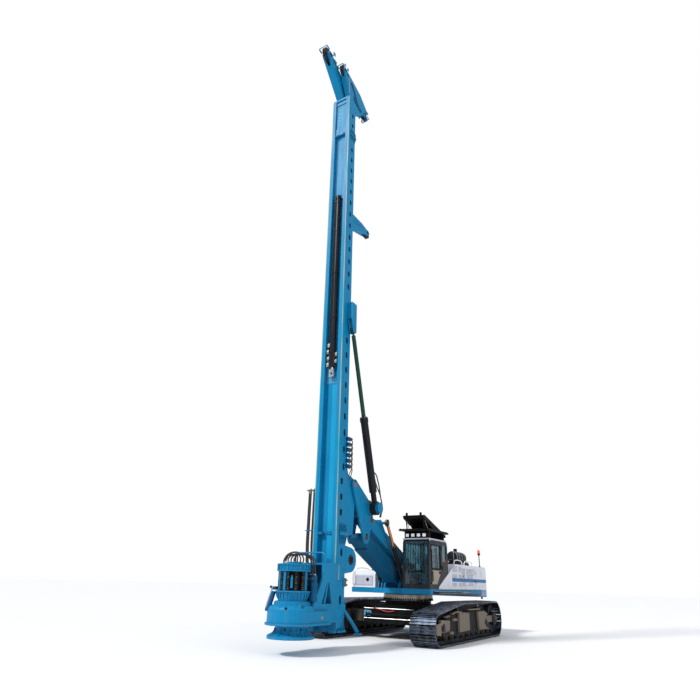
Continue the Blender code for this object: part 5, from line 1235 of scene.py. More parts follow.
def cylinder_fittings(name, ends, y, radius, shares):
    """Gland bolts, ports, clamps and the pipe along a cylinder's barrel."""
    start, stop = shares
    gland = along(ends, stop - 0.004, 0, y)
    direction = (along(ends, 1, 0, y) - along(ends, 0, 0, y)).normalized()
    one = bolt("gland_bolt", gland + Vector((0, radius + 0.004, 0)) - direction * 0.004, direction, 0.020,
        0.014)
    ring = [one]
    for i in range(1, 8):
        turn = Matrix.Translation(gland) @ Matrix.Rotation(math.tau * i / 8, 4,
            direction) @ Matrix.Translation(-gland)
        ring += copies(one, [turn])
    fit(name + "_gland_bolts", ring, name, "zinc")
    pipe = [hose("pipe", [along(ends, start + 0.02, radius * 0.9, y),
        along(ends, start + 0.03, radius + 0.045, y), along(ends, stop - 0.05, radius + 0.045, y),
        along(ends, stop - 0.035, radius * 0.9, y)], 0.013, 8, resolution=4)]
    for share in (0.25, 0.55, 0.85):
        place = start + (stop - start) * share
        pipe.append(strip("clamp", ends, (place, place + 0.008), (radius - 0.01, radius + 0.065), y - 0.03,
            y + 0.03, 0.003))
    fit(name + "_pipe", pipe, name, "gloss_black")
    ports = [slab("port", along(ends, start + 0.015, radius + 0.01, y) - Vector((0.035, 0.035, 0.035)),
        along(ends, start + 0.015, radius + 0.01, y) + Vector((0.035, 0.035, 0.035)), 0.008)]
    fit(name + "_port", ports, name, "zinc")


def stay_hoses():
    """Feed hoses looping behind the foot of each backstay cylinder, with plated ends."""
    for name, side in SIDES:
        y = side * STAY_Y
        lines, ends = [], []
        for i, shift in enumerate((-0.035, 0.035)):
            top = along(STAY_ENDS, 0.20 - 0.015 * i, 0.13, y + shift)
            lines.append(hose("loop", [top, along(STAY_ENDS, 0.185, 0.22, y + shift),
                along(STAY_ENDS, 0.12, 0.34 + 0.04 * i, y + shift), along(STAY_ENDS, 0.05, 0.30,
                y + side * 0.09), along(STAY_ENDS, 0.0, 0.22 + 0.03 * i, y + side * 0.13),
                along(STAY_ENDS, -0.05, 0.05, y + side * (0.10 + 0.03 * i)),], 0.020, 10))
            ends.append(turned("end", [(0.028, 0), (0.028, 0.03), (0.022, 0.035), (0.022, 0.08)],
                along(STAY_ENDS, 0.20 - 0.015 * i, 0.09, y + shift), top, 6, smooth=False))
        fit(f"{name}_backstay_hoses", lines, f"{name}_backstay_barrel", "rubber")
        fit(f"{name}_backstay_hose_ends", ends, f"{name}_backstay_barrel", "chrome")


rocker_fittings()
beam_plates()
for side_name, side in SIDES:
    cylinder_fittings(side_name + "_luff_barrel", LUFF_ENDS, side * LUFF_Y, 0.085, (0.10, 0.62))
    cylinder_fittings(side_name + "_backstay_barrel", STAY_ENDS, side * STAY_Y, 0.115, (0.08, 0.50))
stay_hoses()

# ---------------------------------------------------------------- mast

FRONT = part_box("mast_top")[1].x
REAR = FRONT - 0.546
CHANNEL_FLOOR = FRONT - 0.17
CHANNEL_BACK = CHANNEL_FLOOR - 0.004    # where the plates on its floor are let in, among them the pale and bright ones of painted sky reflection and sunlight
PAINTED_LIGHT_HALF = 0.244
SIDE = MAST_HALF - 0.012     # flank of the mast box behind its rails
JOINTS = (2.957, 18.34)


def mast_joints():
    """Stiffeners and bolts above and below each bolted joint, and the plate in the channel."""
    ribs, heads = [], []
    for joint in JOINTS:
        for way in (-1, 1):
            for side in (-1, 1):
                y = side * SIDE
                for i in range(6):
                    x = REAR + 0.02 + i * 0.062
                    ribs.append(outline("rib", [(y - side * 0.004, joint + way * 0.045),
                        (y + side * 0.042, joint + way * 0.050), (y + side * 0.034, joint + way * 0.16),
                        (y - side * 0.004, joint + way * 0.30)], x, x + 0.012, "YZ"))
                    if i < 5:
                        heads.append(bolt("joint_bolt", (x + 0.037, y + side * 0.020, joint + way * 0.05),
                            (0, 0, way), 0.026, 0.02))
        for way in (-1, 1):
            low = joint + (0.006 if way > 0 else -0.034)
            for near, far, reach in ((-0.248, -0.11, FRONT - 0.012), (0.11, 0.248, FRONT - 0.012),
                    (-0.12, 0.12, CHANNEL_FLOOR + 0.022)):
                ribs.append(slab("channel_plate", (CHANNEL_BACK, near, low), (reach, far, low + 0.028),
                    0.004))
    fit("mast_joint_ribs", ribs, "mast", "blue")
    fit("mast_joint_bolts", heads, "mast", "iron")


def mast_channel():
    """Pale plates on the channel's floor as painted sky reflection, bright strips as painted sunlight, and
    the recessed panel at the top, pale as painted sky reflection.
    """
    # pale plates on the channel's floor, painted reflection of the sky
    sky_reflection_plate = [slab("sky_reflection_plate", (CHANNEL_BACK, -PAINTED_LIGHT_HALF, 7.60), (CHANNEL_FLOOR + 0.006, PAINTED_LIGHT_HALF, 8.02),
        0.002), slab("sky_reflection_plate", (CHANNEL_BACK, -PAINTED_LIGHT_HALF, 15.30), (CHANNEL_FLOOR + 0.006, PAINTED_LIGHT_HALF,
        18.28), 0.002), slab("sky_reflection_plate", (CHANNEL_BACK, -PAINTED_LIGHT_HALF, 8.0),
        (CHANNEL_FLOOR + 0.006, 0.06, 15.32), 0.002)]
    fit("channel_painted_sky_reflection", sky_reflection_plate, "mast", "pale_blue_and_sky_reflection")
    # bright strips on the channel's floor, painted sunlight
    bright = [slab("strip", (CHANNEL_BACK, 0.115, 8.35), (CHANNEL_FLOOR + 0.022, 0.175, 15.0), 0.004),
        slab("strip", (CHANNEL_BACK, -0.02, 2.25), (CHANNEL_FLOOR + 0.008, PAINTED_LIGHT_HALF, 2.90), 0.002),
        slab("strip", (CHANNEL_BACK, -0.02, 3.02), (CHANNEL_FLOOR + 0.008, PAINTED_LIGHT_HALF, 7.55), 0.002)]
    fit("channel_painted_sunlight", bright, "mast", "painted_sunlit_blue")
    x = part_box("mast_top")[1].x - 0.09
    # the top panel is pale as painted reflection of the sky
    panel = slab("panel", (x - 0.004, -0.236, 18.73), (x + 0.010, 0.236, 20.02), 0.004)
    marks = [slab("mark", (x + 0.006, -0.18 + 0.02 * (i % 3), 18.86 + i * 0.20),
        (x + 0.018, -0.04 + 0.03 * (i % 2), 18.875 + i * 0.20), 0.003) for i in range(6)]
    fit("top_panel_painted_sky_reflection", [panel], "mast", "pale_blue_and_sky_reflection")
    fit("top_panel_ribs", marks, "mast", "blue")


def crowd_fittings():
    """Clamps, feed pipes and port blocks along the crowd cylinder."""
    low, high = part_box("crowd_barrel")
    x, radius = (low.x + high.x) / 2, 0.095
    rings = []
    for z in (low.z + 0.02, low.z + 1.8, low.z + 3.6, low.z + 5.4, high.z - 0.40):
        rings.append(turned("ring", [(radius + 0.002, 0), (radius + 0.012, 0.006), (radius + 0.012, 0.05),
            (radius + 0.002, 0.056)], (x, 0, z), None, 24))
        rings.append(slab("clamp", (CHANNEL_FLOOR, -0.165, z + 0.01), (x + 0.01, -0.09, z + 0.05), 0.006))
    rings.append(turned("cap", [(0.09, 0), (0.11, 0.01), (0.11, 0.16), (0.08, 0.18)],
        (x, 0, high.z - 0.20), None, 20))
    fit("crowd_cylinder_clamps", rings, "mast", "gloss_black")
    pipes = [rod("pipe", (x, y, low.z + 0.35), (x, y, high.z - 0.25), 0.015, 10) for y in (-0.145, -0.118)]
    fit("crowd_cylinder_pipes", pipes, "mast", "black")
    blocks, brass = [], []
    for y, z in ((-0.16, 0.10), (-0.15, 0.32), (-0.17, 0.56), (-0.14, 0.80), (0.15, 0.18), (0.16, 0.42)):
        blocks.append(slab("block", (x - 0.05, y - 0.045, low.z + z - 0.06),
            (x + 0.055, y + 0.045, low.z + z + 0.07), 0.014, 2))
        blocks.append(turned("port", [(0.022, 0), (0.022, 0.03), (0.016, 0.04)], (x + 0.05, y, low.z + z),
            (x + 1, y, low.z + z), 8, smooth=False))
        brass.append(turned("nut", [(0.024, 0), (0.024, 0.025), (0.017, 0.03)],
            (x + 0.02, y + 0.01, low.z + z + 0.068), None, 6, smooth=False))
    fit("crowd_valve_blocks", blocks, "mast", "zinc")
    fit("crowd_valve_nuts", brass, "mast", "brass")
    lines = [hose("line", [(x + 0.03, y, low.z + z), (x + 0.09, y * 0.8, low.z + z - 0.10),
        (x + 0.06, y * 0.5, low.z + z - 0.24), (x, y * 0.9, low.z - 0.02)], 0.014, 8)
        for y, z in ((-0.16, 0.34), (-0.12, 0.60), (0.15, 0.40))]
    fit("crowd_feed_hoses", lines, "mast", "rubber")


def flank_hoses():
    """Upright hose bundle on the right flank, the manifold on the left rear edge, and loops."""
    lines, nuts, brackets = [], [], []
    for i in range(4):
        x, y = FRONT - 0.26 - 0.05 * (i % 2), -0.56 - 0.085 * i
        lines.append(hose("line", [(x - 0.04, -0.40, 2.02 - 0.03 * i), (x - 0.01, y + 0.04, 2.12),
            (x, y, 2.4), (x, y - 0.01, 3.3), (x, y, 4.16)], 0.029, 10))
        nuts.append(turned("nut", [(0.038, 0), (0.038, 0.04), (0.030, 0.045), (0.030, 0.13),
            (0.022, 0.15)], (x, y, 4.14), None, 6, smooth=False))
    brackets.append(slab("bracket", (FRONT - 0.36, -0.86, 4.22), (FRONT - 0.21, -SIDE, 4.25), 0.006))
    brackets.append(slab("bracket", (FRONT - 0.36, -0.86, 3.05), (FRONT - 0.21, -SIDE, 3.07), 0.006))
    fit("flank_hoses", lines, "mast", "rubber")
    fit("flank_hose_nuts", nuts, "mast", "brass")
    fit("flank_hose_brackets", brackets, "mast", "blue")
    plates, fittings, bends = [], [], []
    for i in range(6):
        z = 4.88 + 0.17 * i
        plates.append(slab("valve", (REAR - 0.10, SIDE - 0.03, z), (REAR + 0.11, SIDE + 0.10, z + 0.10),
            0.012))
        for x in (REAR - 0.05, REAR + 0.05):
            fittings.append(turned("nut", [(0.022, 0), (0.022, 0.03), (0.015, 0.04)],
                (x, SIDE + 0.098, z + 0.05), (x, SIDE + 1, z + 0.05), 6, smooth=False))
        bends.append(hose("bend", [(REAR - 0.09, SIDE + 0.04, z + 0.05),
            (REAR - 0.17, SIDE + 0.05, z + 0.03), (REAR - 0.22, SIDE + 0.02, z - 0.12),
            (REAR - 0.19, SIDE - 0.06, z - 0.34)], 0.014, 8))
    fit("mast_manifold", plates, "mast", "deep_blue")
    fit("manifold_nuts", fittings, "mast", "copper_nut")
    fit("manifold_hoses", bends, "mast", "rubber")
    loops = []
    for i in range(3):
        y = -0.46 - 0.05 * i
        loops.append(hose("loop", [(REAR + 0.02, -0.36, 3.18 - 0.04 * i), (REAR - 0.25, y, 3.0),
            (REAR - 0.62 - 0.04 * i, y - 0.06, 2.62), (REAR - 0.70, y - 0.08, 2.30),
            (REAR - 0.50, y - 0.03, 2.06 + 0.03 * i), (REAR - 0.12, -0.37 - 0.02 * i, 2.10)], 0.024, 8))
    fit("winch_hoses", loops, "mast", "rubber")


def mast_foot():
    """Winch motor, its bolted covers, couplings, foot bracket and parking leg."""
    low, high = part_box("winch_drum")
    x, z = (low.x + high.x) / 2, (low.z + high.z) / 2
    covers, heads, motor = [], [], []
    for side in (-1, 1):
        y = side * 0.359
        out = Vector((0, side, 0))
        covers.append(turned("cover", [(0.135, 0), (0.135, 0.02), (0.118, 0.03), (0.07, 0.03),
            (0.06, 0.045)], (x - 0.02, y, z), (x - 0.02, y + side, z), 28))
        one = bolt("cover_bolt", (x - 0.02 + 0.10, y + side * 0.028, z), out, 0.026, 0.016)
        heads += [one, *copies(one, turns((x - 0.02, y, z), "Y", range(45, 360, 45)))]
        motor.append(outline("cheek", [(x - 0.26, z - 0.12), (x - 0.10, z - 0.30), (x + 0.28, z - 0.37),
            (x + 0.28, z + 0.37), (x - 0.12, z + 0.29), (x - 0.26, z + 0.12)], y - side * 0.001,
            y + side * 0.010, edge=0.004))
    fit("winch_covers", covers, "mast", "black")
    fit("winch_cover_bolts", heads, "mast", "rust")
    fit("winch_cheeks", motor, "mast", "blue")
    nuts = []
    for level in (1.60, 1.72):
        for shift in (-0.02, 0.06):
            nuts.append(turned("coupling", [(0.030, 0), (0.030, 0.04), (0.022, 0.05), (0.022, 0.08)],
                (REAR + shift, SIDE - 0.01, level), (REAR + shift, SIDE + 1, level), 10))
    fit("quick_couplings", nuts, "mast", "copper_nut")
    # black plates, painted shade in the slots of the mast's flank
    slots = [slab("slot", (FRONT - 0.29, SIDE - 0.004, z - 0.085), (FRONT - 0.20, SIDE + 0.004, z + 0.085),
        0.003) for z in (4.44, 3.98, 3.54)]
    fit("flank_painted_shade_slots", slots, "mast", "black")
    block = slab("block", (REAR - 0.06, SIDE - 0.03, 1.55), (REAR + 0.10, SIDE + 0.02, 1.78), 0.01)
    braces = [slab("rib", (REAR + 0.06, -SIDE + 0.02, 0.466), (REAR + 0.08, SIDE - 0.02, 0.60), 0.004)]
    for side in (-1, 1):
        for i in range(3):
            at_x = REAR + 0.02 + 0.12 * i
            y = side * SIDE
            braces.append(outline("foot_rib", [(y - side * 0.01, 0.468), (y + side * 0.045, 0.468),
                (y - side * 0.01, 0.72)], at_x, at_x + 0.014, "YZ"))
        for level in (0.78, 1.72, 2.02, 2.92):
            braces.append(slab("band", (REAR - 0.004, side * SIDE, level),
                (FRONT - 0.19, side * (SIDE + 0.014), level + 0.03), 0.004))
    leg = [hose("leg", [(REAR - 0.02, 0.30, 1.02), (REAR - 0.30, 0.42, 0.70), (REAR - 0.52, 0.52, 0.40)],
        0.050, 8, resolution=2), slab("pad", (REAR - 0.62, 0.42, 0.33), (REAR - 0.44, 0.62, 0.37), 0.012),
        slab("lug", (REAR - 0.10, 0.22, 0.92), (REAR + 0.01, 0.38, 1.12), 0.02)]
    fit("mast_foot_bracing", [block, *braces], "mast", "blue")
    fit("parking_leg", leg, "mast", "blue")


mast_joints()
mast_channel()
crowd_fittings()
flank_hoses()
mast_foot()

# ---------------------------------------------------------------- rope head

MAIN_TIP, MAIN_Y = (6.58, 21.74), -0.06
AUX_TIP, AUX_Y = (5.86, 21.44), 0.27
REAR_TIP = (4.16, 20.52)


def head_fittings():
    """Rope keepers, pin ends, ribs, and dark plates on the arms of the head as painted shade in its
    pockets.
    """
    pegs, caps = [], []
    for (x, z), y, reach, half in ((MAIN_TIP, MAIN_Y, 0.40, 0.19), (AUX_TIP, AUX_Y, 0.29, 0.13),
            (REAR_TIP, AUX_Y, 0.29, 0.13)):
        for degrees in (20, 75, 130, 200):
            angle = math.radians(degrees)
            if (x, z) == REAR_TIP:
                angle = math.radians(degrees + 110)
            px, pz = x + reach * math.cos(angle), z + reach * math.sin(angle)
            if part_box("mast_head")[0].z < pz < CAD_TOP - 0.03 and ahead(px) < CAD_FRONT - 0.03:
                pegs.append(rod("peg", at(px, y - half, pz), at(px, y + half, pz), 0.016, 8))
                for side in (-1, 1):
                    mid = at((px + x) / 2, 0, (pz + z) / 2)
                    pegs.append(slab("arm", (min(mid.x, ahead(px)) - 0.01, y + side * half - 0.012,
                        min(mid.z, pz) - 0.01), (max(mid.x, ahead(px)) + 0.01, y + side * half + 0.012,
                        max(mid.z, pz) + 0.01), 0.005))
        for side in (-1, 1):
            base = at(x, y + side * (half - 0.025), z)
            caps.append(turned("pin_end", [(0.075, 0), (0.075, 0.02), (0.05, 0.03)], base,
                base + Vector((0, side, 0)), 20))
    fit("rope_keepers", pegs, "mast", "blue")
    fit("sheave_pin_ends", caps, "mast", "iron")
    # dark plates laid on the head's sides, painted shade in its pockets
    pockets = []
    for side in (-1, 1):
        y = AUX_Y + side * 0.1105
        inner, outer = y - side * 0.002, y + side * 0.006
        pockets.append(outline("pocket", upright(((4.86, 20.62), (5.02, 20.62), (5.46, 21.12),
            (5.40, 21.20), (5.30, 21.18))), inner, outer, edge=0.002))
        pockets.append(outline("pocket", upright(((4.62, 20.16), (5.18, 20.40), (5.14, 20.72),
            (4.92, 20.60), (4.50, 20.34))), inner, outer, edge=0.002))
    fit("head_painted_shade_pockets", pockets, "mast", "shadow_blue")
    ribs = []
    for i in range(5):
        x, z = 4.66 + 0.10 * i, 20.20 + 0.055 * i
        ribs.append(outline("rib", [(ahead(x), z), (ahead(x + 0.02), z), (ahead(x + 0.10), z + 0.28),
            (ahead(x + 0.08), z + 0.28)], AUX_Y + 0.112, AUX_Y + 0.135))
    for i in range(4):
        y = -0.22 + 0.15 * i
        ribs.append(outline("rib", [(ahead(5.40), 20.325), (ahead(5.515), 20.325), (ahead(5.40), 20.52)],
            y, y + 0.014))
    for out in (0.155, -0.155):
        y = MAIN_Y + out * 1.02
        ribs.append(outline("flange", upright(((5.12, 20.78), (5.30, 20.78), (6.30, 21.60),
            (6.24, 21.68))), y, y + 0.012))
    fit("head_ribs", ribs, "mast", "blue")
    stops = []
    for x, z in ((5.45, 20.36), (4.80, 20.36)):
        for y in (-0.33, 0.36):
            if (x, y) != (4.80, 0.36):
                stops.append(bolt("base_bolt", at(x - 0.02, y - 0.01, 20.32), (0, 0, 1), 0.04, 0.03))
    fit("head_base_bolts", stops, "mast", "iron")


CAD_TOP, CAD_FRONT = CAD_BOX[1][2], CAD_BOX[1][0]
head_fittings()


def guide_arm_fittings():
    """Pin ends, stiffeners, end plate and bolts on the rope guide arm behind the mast."""
    low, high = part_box("guide_sheave")
    x, z = (low.x + high.x) / 2, (low.z + high.z) / 2
    caps = []
    for side in (-1, 1):
        caps.append(turned("pin_end", [(0.065, 0), (0.065, 0.02), (0.04, 0.03)], (x, side * 0.108, z),
            (x, side, z), 18))
    fit("guide_pin_ends", caps, "mast", "iron")
    ribs = [outline("rib", [(x + 0.45, z - 0.02), (REAR + 0.01, z - 0.26), (REAR + 0.01, z - 0.22),
        (x + 0.45, z + 0.02)], side * 0.118 - 0.006, side * 0.118 + 0.006) for side in (-1, 1)]
    ribs += [slab("end_plate", (REAR - 0.03, -0.20, z - 0.66), (REAR + 0.002, 0.20, z + 0.16), 0.01)]
    fit("guide_arm_ribs", ribs, "mast", "blue")
    fit("guide_arm_bolts", [bolt("bolt", (REAR - 0.028, y, z + dz), (-1, 0, 0), 0.036, 0.024)
        for y in (-0.16, 0.16) for dz in (-0.58, -0.34, -0.10, 0.10)], "mast", "iron")


guide_arm_fittings()

# ---------------------------------------------------------------- rotary drive

CAGE_LOW, CAGE_HIGH = 1.44, 1.89
CASE_TOP = 0.98              # top of the shroud
CONE_LOW = 1.18
RING_TOP = 2.07
CAGE_RADIUS = 0.42
SPRING_CIRCLE = 0.36


def drive_at(radius, degrees, z):
    """A point round the drive's axis."""
    angle = math.radians(degrees)
    return Vector((DRIVE.x + radius * math.cos(angle), DRIVE.y + radius * math.sin(angle), z))


def around_drive(piece, count, skip=1):
    """The piece and its copies evenly round the drive's axis."""
    return [piece, *copies(piece, turns((DRIVE.x, DRIVE.y, 0), "Z", [360 * i / count
        for i in range(1, count, skip)]))]


def fin(name, points, thickness=0.010):
    """A radial rib from (radius, height) points."""
    piece = outline(name, [(DRIVE.x + r, z) for r, z in points], DRIVE.y - thickness / 2,
        DRIVE.y + thickness / 2)
    return piece


def spring_cage():
    """Coil springs between the rings, and the blue posts between the springs."""
    turns_count, steps, wire = 11, 12, 0.0085
    centre = drive_at(SPRING_CIRCLE, 15, 0)
    points = []
    for i in range(turns_count * steps + 1):
        angle = math.tau * i / steps
        points.append((centre.x + 0.0415 * math.cos(angle), centre.y + 0.0415 * math.sin(angle),
            CAGE_LOW + (CAGE_HIGH - CAGE_LOW) * i / (turns_count * steps)))
    coil = hose("coil", points, wire, 4, resolution=1)
    fit("damping_springs", around_drive(coil, 12), "carriage", "spring")
    # black sleeves inside the coils and a black core behind them, painted shade inside the cage
    sleeve = rod("sleeve", centre + Vector((0, 0, CAGE_LOW + 0.002)),
        centre + Vector((0, 0, CAGE_HIGH - 0.002)), 0.0395)
    core = turned("core", [(0.296, 0), (0.300, 0.004), (0.300, 0.440), (0.296, 0.444)],
        (DRIVE.x, DRIVE.y, CAGE_LOW + 0.003), None, 40)
    fit("spring_painted_shade_sleeves", [core, *around_drive(sleeve, 12)], "carriage", "black")
    post = slab("post", (DRIVE.x + 0.33, -0.035, CAGE_LOW), (DRIVE.x + 0.40, 0.035, CAGE_HIGH), 0.008)
    posts = [post, *copies(post, turns((DRIVE.x, 0, 0), "Z", (90, 150, 210, 270, 330)))]
    fit("cage_posts", posts, "carriage", "blue")
    guide = [slab("guide", (DRIVE.x + 0.395, -0.028, 1.50), (DRIVE.x + 0.43, 0.028, 1.68), 0.006),
        turned("nose", [(0.034, 0), (0.034, 0.03), (0.012, 0.12)], (DRIVE.x + 0.41, 0, 1.68), None, 12)]
    guides = joined("guide", guide)
    guides.data.transform(turns((DRIVE.x, 0, 0), "Z", (30,))[0])
    fit("cage_guides", [guides, *copies(guides, turns((DRIVE.x, 0, 0), "Z", (120, 240)))], "carriage",
        "blue")


def rings():
    """Rims, ribs and bolts of the top ring and the cone, and the domed ring on the shroud."""
    rib = fin("rib", [(CAGE_RADIUS - 0.02, CAGE_HIGH + 0.025), (CAGE_RADIUS + 0.020, CAGE_HIGH + 0.025),
        (CAGE_RADIUS + 0.020, RING_TOP - 0.02), (CAGE_RADIUS - 0.02, RING_TOP - 0.02)], 0.014)
    lower = fin("cone_rib", [(0.355, CONE_LOW + 0.01), (0.425, CAGE_LOW - 0.13), (0.445, CAGE_LOW - 0.03),
        (0.39, CAGE_LOW - 0.03)], 0.014)
    top_rim = turned("rim", [(0.438, 0), (0.448, 0.008), (0.448, 0.022), (0.438, 0.030)],
        (DRIVE.x, DRIVE.y, RING_TOP - 0.028), None, 44)
    low_rim = turned("rim", [(0.436, 0), (0.446, 0.008), (0.446, 0.020), (0.436, 0.028)],
        (DRIVE.x, DRIVE.y, CAGE_HIGH + 0.001), None, 44)
    mid_rim = turned("rim", [(0.44, 0), (0.465, 0.008), (0.465, 0.026), (0.44, 0.034)],
        (DRIVE.x, DRIVE.y, CAGE_LOW - 0.036), None, 44)
    dome = turned("dome", [(0.606, 0), (0.606, 0.020), (0.596, 0.060), (0.565, 0.100), (0.515, 0.128),
        (0.470, 0.140), (0.470, 0.175), (0.452, 0.185), (0.452, 0.215), (0.40, 0.225)],
        (DRIVE.x, DRIVE.y, CASE_TOP - 0.002), None, 56)
    pieces = around_drive(rib, 26) + around_drive(lower, 26) + [top_rim, low_rim, mid_rim, dome]
    fit("drive_ribs", pieces, "carriage", "blue")
    heads = []
    for radius, z, count, across in ((0.462, CASE_TOP + 0.172, 30, 0.020),
            (0.575, CASE_TOP + 0.078, 6, 0.03), (0.355, RING_TOP, 16, 0.028)):
        one = bolt("flange_bolt", drive_at(radius, 4, z), (0, 0, 1), across, 0.016)
        heads += around_drive(one, count)
    for level in (CAGE_HIGH + 0.09, RING_TOP - 0.06):
        one = bolt("ring_bolt", drive_at(CAGE_RADIUS - 0.004, 360 / 52, level),
            drive_at(1, 360 / 52, 0) - drive_at(0, 0, 0), 0.018, 0.012)
        heads += around_drive(one, 26)
    fit("drive_bolts", heads, "carriage", "blue")


def drive_motors():
    """Three hydraulic motors behind the cage, with their caps and fittings."""
    bodies, caps, gold = [], [], []
    for degrees in (118, 152, 208, 242):
        foot = drive_at(0.53, degrees, CONE_LOW + 0.02)
        bodies.append(turned("motor", [(0.10, 0), (0.10, 0.10), (0.088, 0.11), (0.088, 0.34), (0.10, 0.35),
            (0.10, 0.44), (0.075, 0.46), (0.075, 0.60), (0.055, 0.63)], foot, None, 20))
        bodies.append(slab("valve", foot + Vector((-0.07, -0.06, 0.46)), foot + Vector((0.07, 0.06, 0.60)),
            0.012))
        for y in (-0.035, 0.035):
            caps.append(turned("cap", [(0.022, 0), (0.026, 0.01), (0.026, 0.035), (0.016, 0.05)],
                foot + Vector((0.02, y, 0.60)), None, 12))
        gold.append(turned("plug", [(0.014, 0), (0.014, 0.02), (0.008, 0.028)],
            foot + Vector((0.069, 0.0, 0.53)), foot + Vector((1, 0, 0.53)), 6, smooth=False))
    fit("drive_motors", bodies, "carriage", "deep_blue")
    fit("motor_port_caps", caps, "carriage", "zinc")
    fit("motor_plugs", gold, "carriage", "brass")


def drive_hoses():
    """Pressure and return hoses from the top of the cage over to the motors, with their fittings and
    block.
    """
    lines = []
    for i, degrees in enumerate((118, 118, 152, 152, 208, 242, 242)):
        shift = 0.035 if i % 2 else -0.035
        foot = drive_at(0.53, degrees, 1.80) + Vector((0.02, shift, 0.05))
        start = Vector((DRIVE.x + 0.14 - 0.04 * i, -0.20 + 0.065 * i, RING_TOP + 0.01))
        rise = 2.30 + 0.012 * i
        lines.append(hose("line", [start, start + Vector((0.0, 0.01, 0.14)),
            (start + foot) / 2 + Vector((0.02, 0, rise - (start.z + foot.z) / 2)),
            foot + Vector((0.06, 0.02, 0.34)), foot + Vector((0.015, 0, 0.16)), foot], 0.019, 8))
    fit("motor_hoses", lines, "carriage", "rubber")
    ends = []
    for i in range(7):
        start = Vector((DRIVE.x + 0.14 - 0.04 * i, -0.20 + 0.065 * i, RING_TOP - 0.004))
        ends.append(turned("fitting", [(0.030, 0), (0.030, 0.02), (0.024, 0.024), (0.024, 0.07)], start,
            None, 6, smooth=False))
    fit("hose_fittings", ends, "carriage", "zinc")
    block = slab("block", (DRIVE.x - 0.16, -0.25, RING_TOP - 0.002),
        (DRIVE.x + 0.20, 0.27, RING_TOP + 0.012), 0.004)
    fit("hose_block", [block], "carriage", "black")


def shroud_fittings():
    """Damper strut on the far side, slotted breather box, lug, blank plate and the lip on the shroud's
    front.
    """
    top, foot = drive_at(0.47, -58, 1.50), drive_at(0.60, -50, CASE_TOP + 0.03)
    fit("damper_rod", [rod("rod", foot + Vector((0.03, -0.05, 0.03)), top + Vector((0.03, -0.05, 0.03)),
        0.021)], "carriage", "chrome")
    strut = [rod("strut", foot, foot + (top - foot) * 0.82, 0.062, 16),
        turned("ball", [(0.012, -0.034), (0.028, -0.022), (0.035, 0), (0.028, 0.022), (0.012, 0.034)],
        top + Vector((0.05, -0.09, -0.02)), None, 16), slab("lug", foot + Vector((-0.05, -0.07, -0.05)),
        foot + Vector((0.05, 0.05, 0.03)), 0.01), slab("lug", top + Vector((-0.05, -0.03, -0.05)),
        top + Vector((0.06, 0.06, 0.03)), 0.01)]
    fit("damper_strut", strut, "carriage", "deep_blue")
    box_low = drive_at(0.50, 62, CASE_TOP + 0.01)
    case = slab("case", box_low + Vector((-0.09, -0.03, 0)), box_low + Vector((0.09, 0.06, 0.15)), 0.012)
    fit("breather_box", [case], "carriage", "blue")
    # black bars, painted shade in the breather box's slots
    bars = [slab("slot", box_low + Vector((x, 0.058, 0.02)), box_low + Vector((x + 0.03, 0.066, 0.13)),
        0.003) for x in (-0.055, 0.025)]
    plug = turned("plug", [(0.030, 0), (0.030, 0.02), (0.018, 0.03)], drive_at(0.585, 22, 1.045),
        drive_at(1.5, 22, 1.3), 12)
    fit("breather_painted_shade_slots", [*bars, plug], "carriage", "black")
    plate = slab("plate", (DRIVE.x - 0.50, 0.616, 0.80), (DRIVE.x - 0.42, 0.624, 0.86), 0.002)
    fit("blank_rating_plate", [plate], "carriage", "brass")
    lip = turned("lip", [(0.645, 0), (0.668, 0.012), (0.668, 0.035), (0.63, 0.055)],
        (DRIVE.x, DRIVE.y, 0.655), None, 56)
    # the lip only rounds the shroud's free front, so its rear is cut away
    bpy.ops.object.mode_set(mode="EDIT")
    bpy.ops.mesh.select_all(action="SELECT")
    bpy.ops.mesh.bisect(plane_co=(DRIVE.x - 0.05, 0, 0), plane_no=(-1, 0, 0), clear_outer=True,
        use_fill=True)
    done(lip, True)
    fit("shroud_lip", [lip], "carriage", "blue")


def sleeve_fittings():
    """Flared ribs, black discs as painted shade for the drain holes, and bolts of the turning sleeve and
    its disc.
    """
    rib = fin("rib", [(0.392, 0.415), (0.575, 0.415), (0.575, 0.432), (0.44, 0.50), (0.41, 0.60),
        (0.392, 0.60)], 0.022)
    flare = turned("flare", [(0.56, 0), (0.56, 0.012), (0.47, 0.040), (0.43, 0.075), (0.415, 0.12)],
        (DRIVE.x, DRIVE.y, 0.418), None, 48)
    fit("sleeve_ribs", around_drive(rib, 12) + [flare], "drive_sleeve", "blue")
    # black discs stand for the holes, painted shade
    holes = []
    for z, shift in ((0.575, 0), (0.50, 3)):
        out = drive_at(1, 15 + shift, 0) - drive_at(0, 0, 0)
        one = turned("hole", [(0.024, 0), (0.024, 0.012), (0.017, 0.014)],
            drive_at(0.396 if z > 0.55 else 0.402, 15 + shift, z), drive_at(0.396, 15 + shift, z) + out,
            12)
        holes += around_drive(one, 6)
    fit("sleeve_painted_shade_holes", holes, "drive_sleeve", "black")
    one = bolt("disc_bolt", drive_at(0.545, 15, 0.42), (0, 0, 1), 0.03, 0.018)
    fit("sleeve_bolts", around_drive(one, 12), "drive_sleeve", "iron")


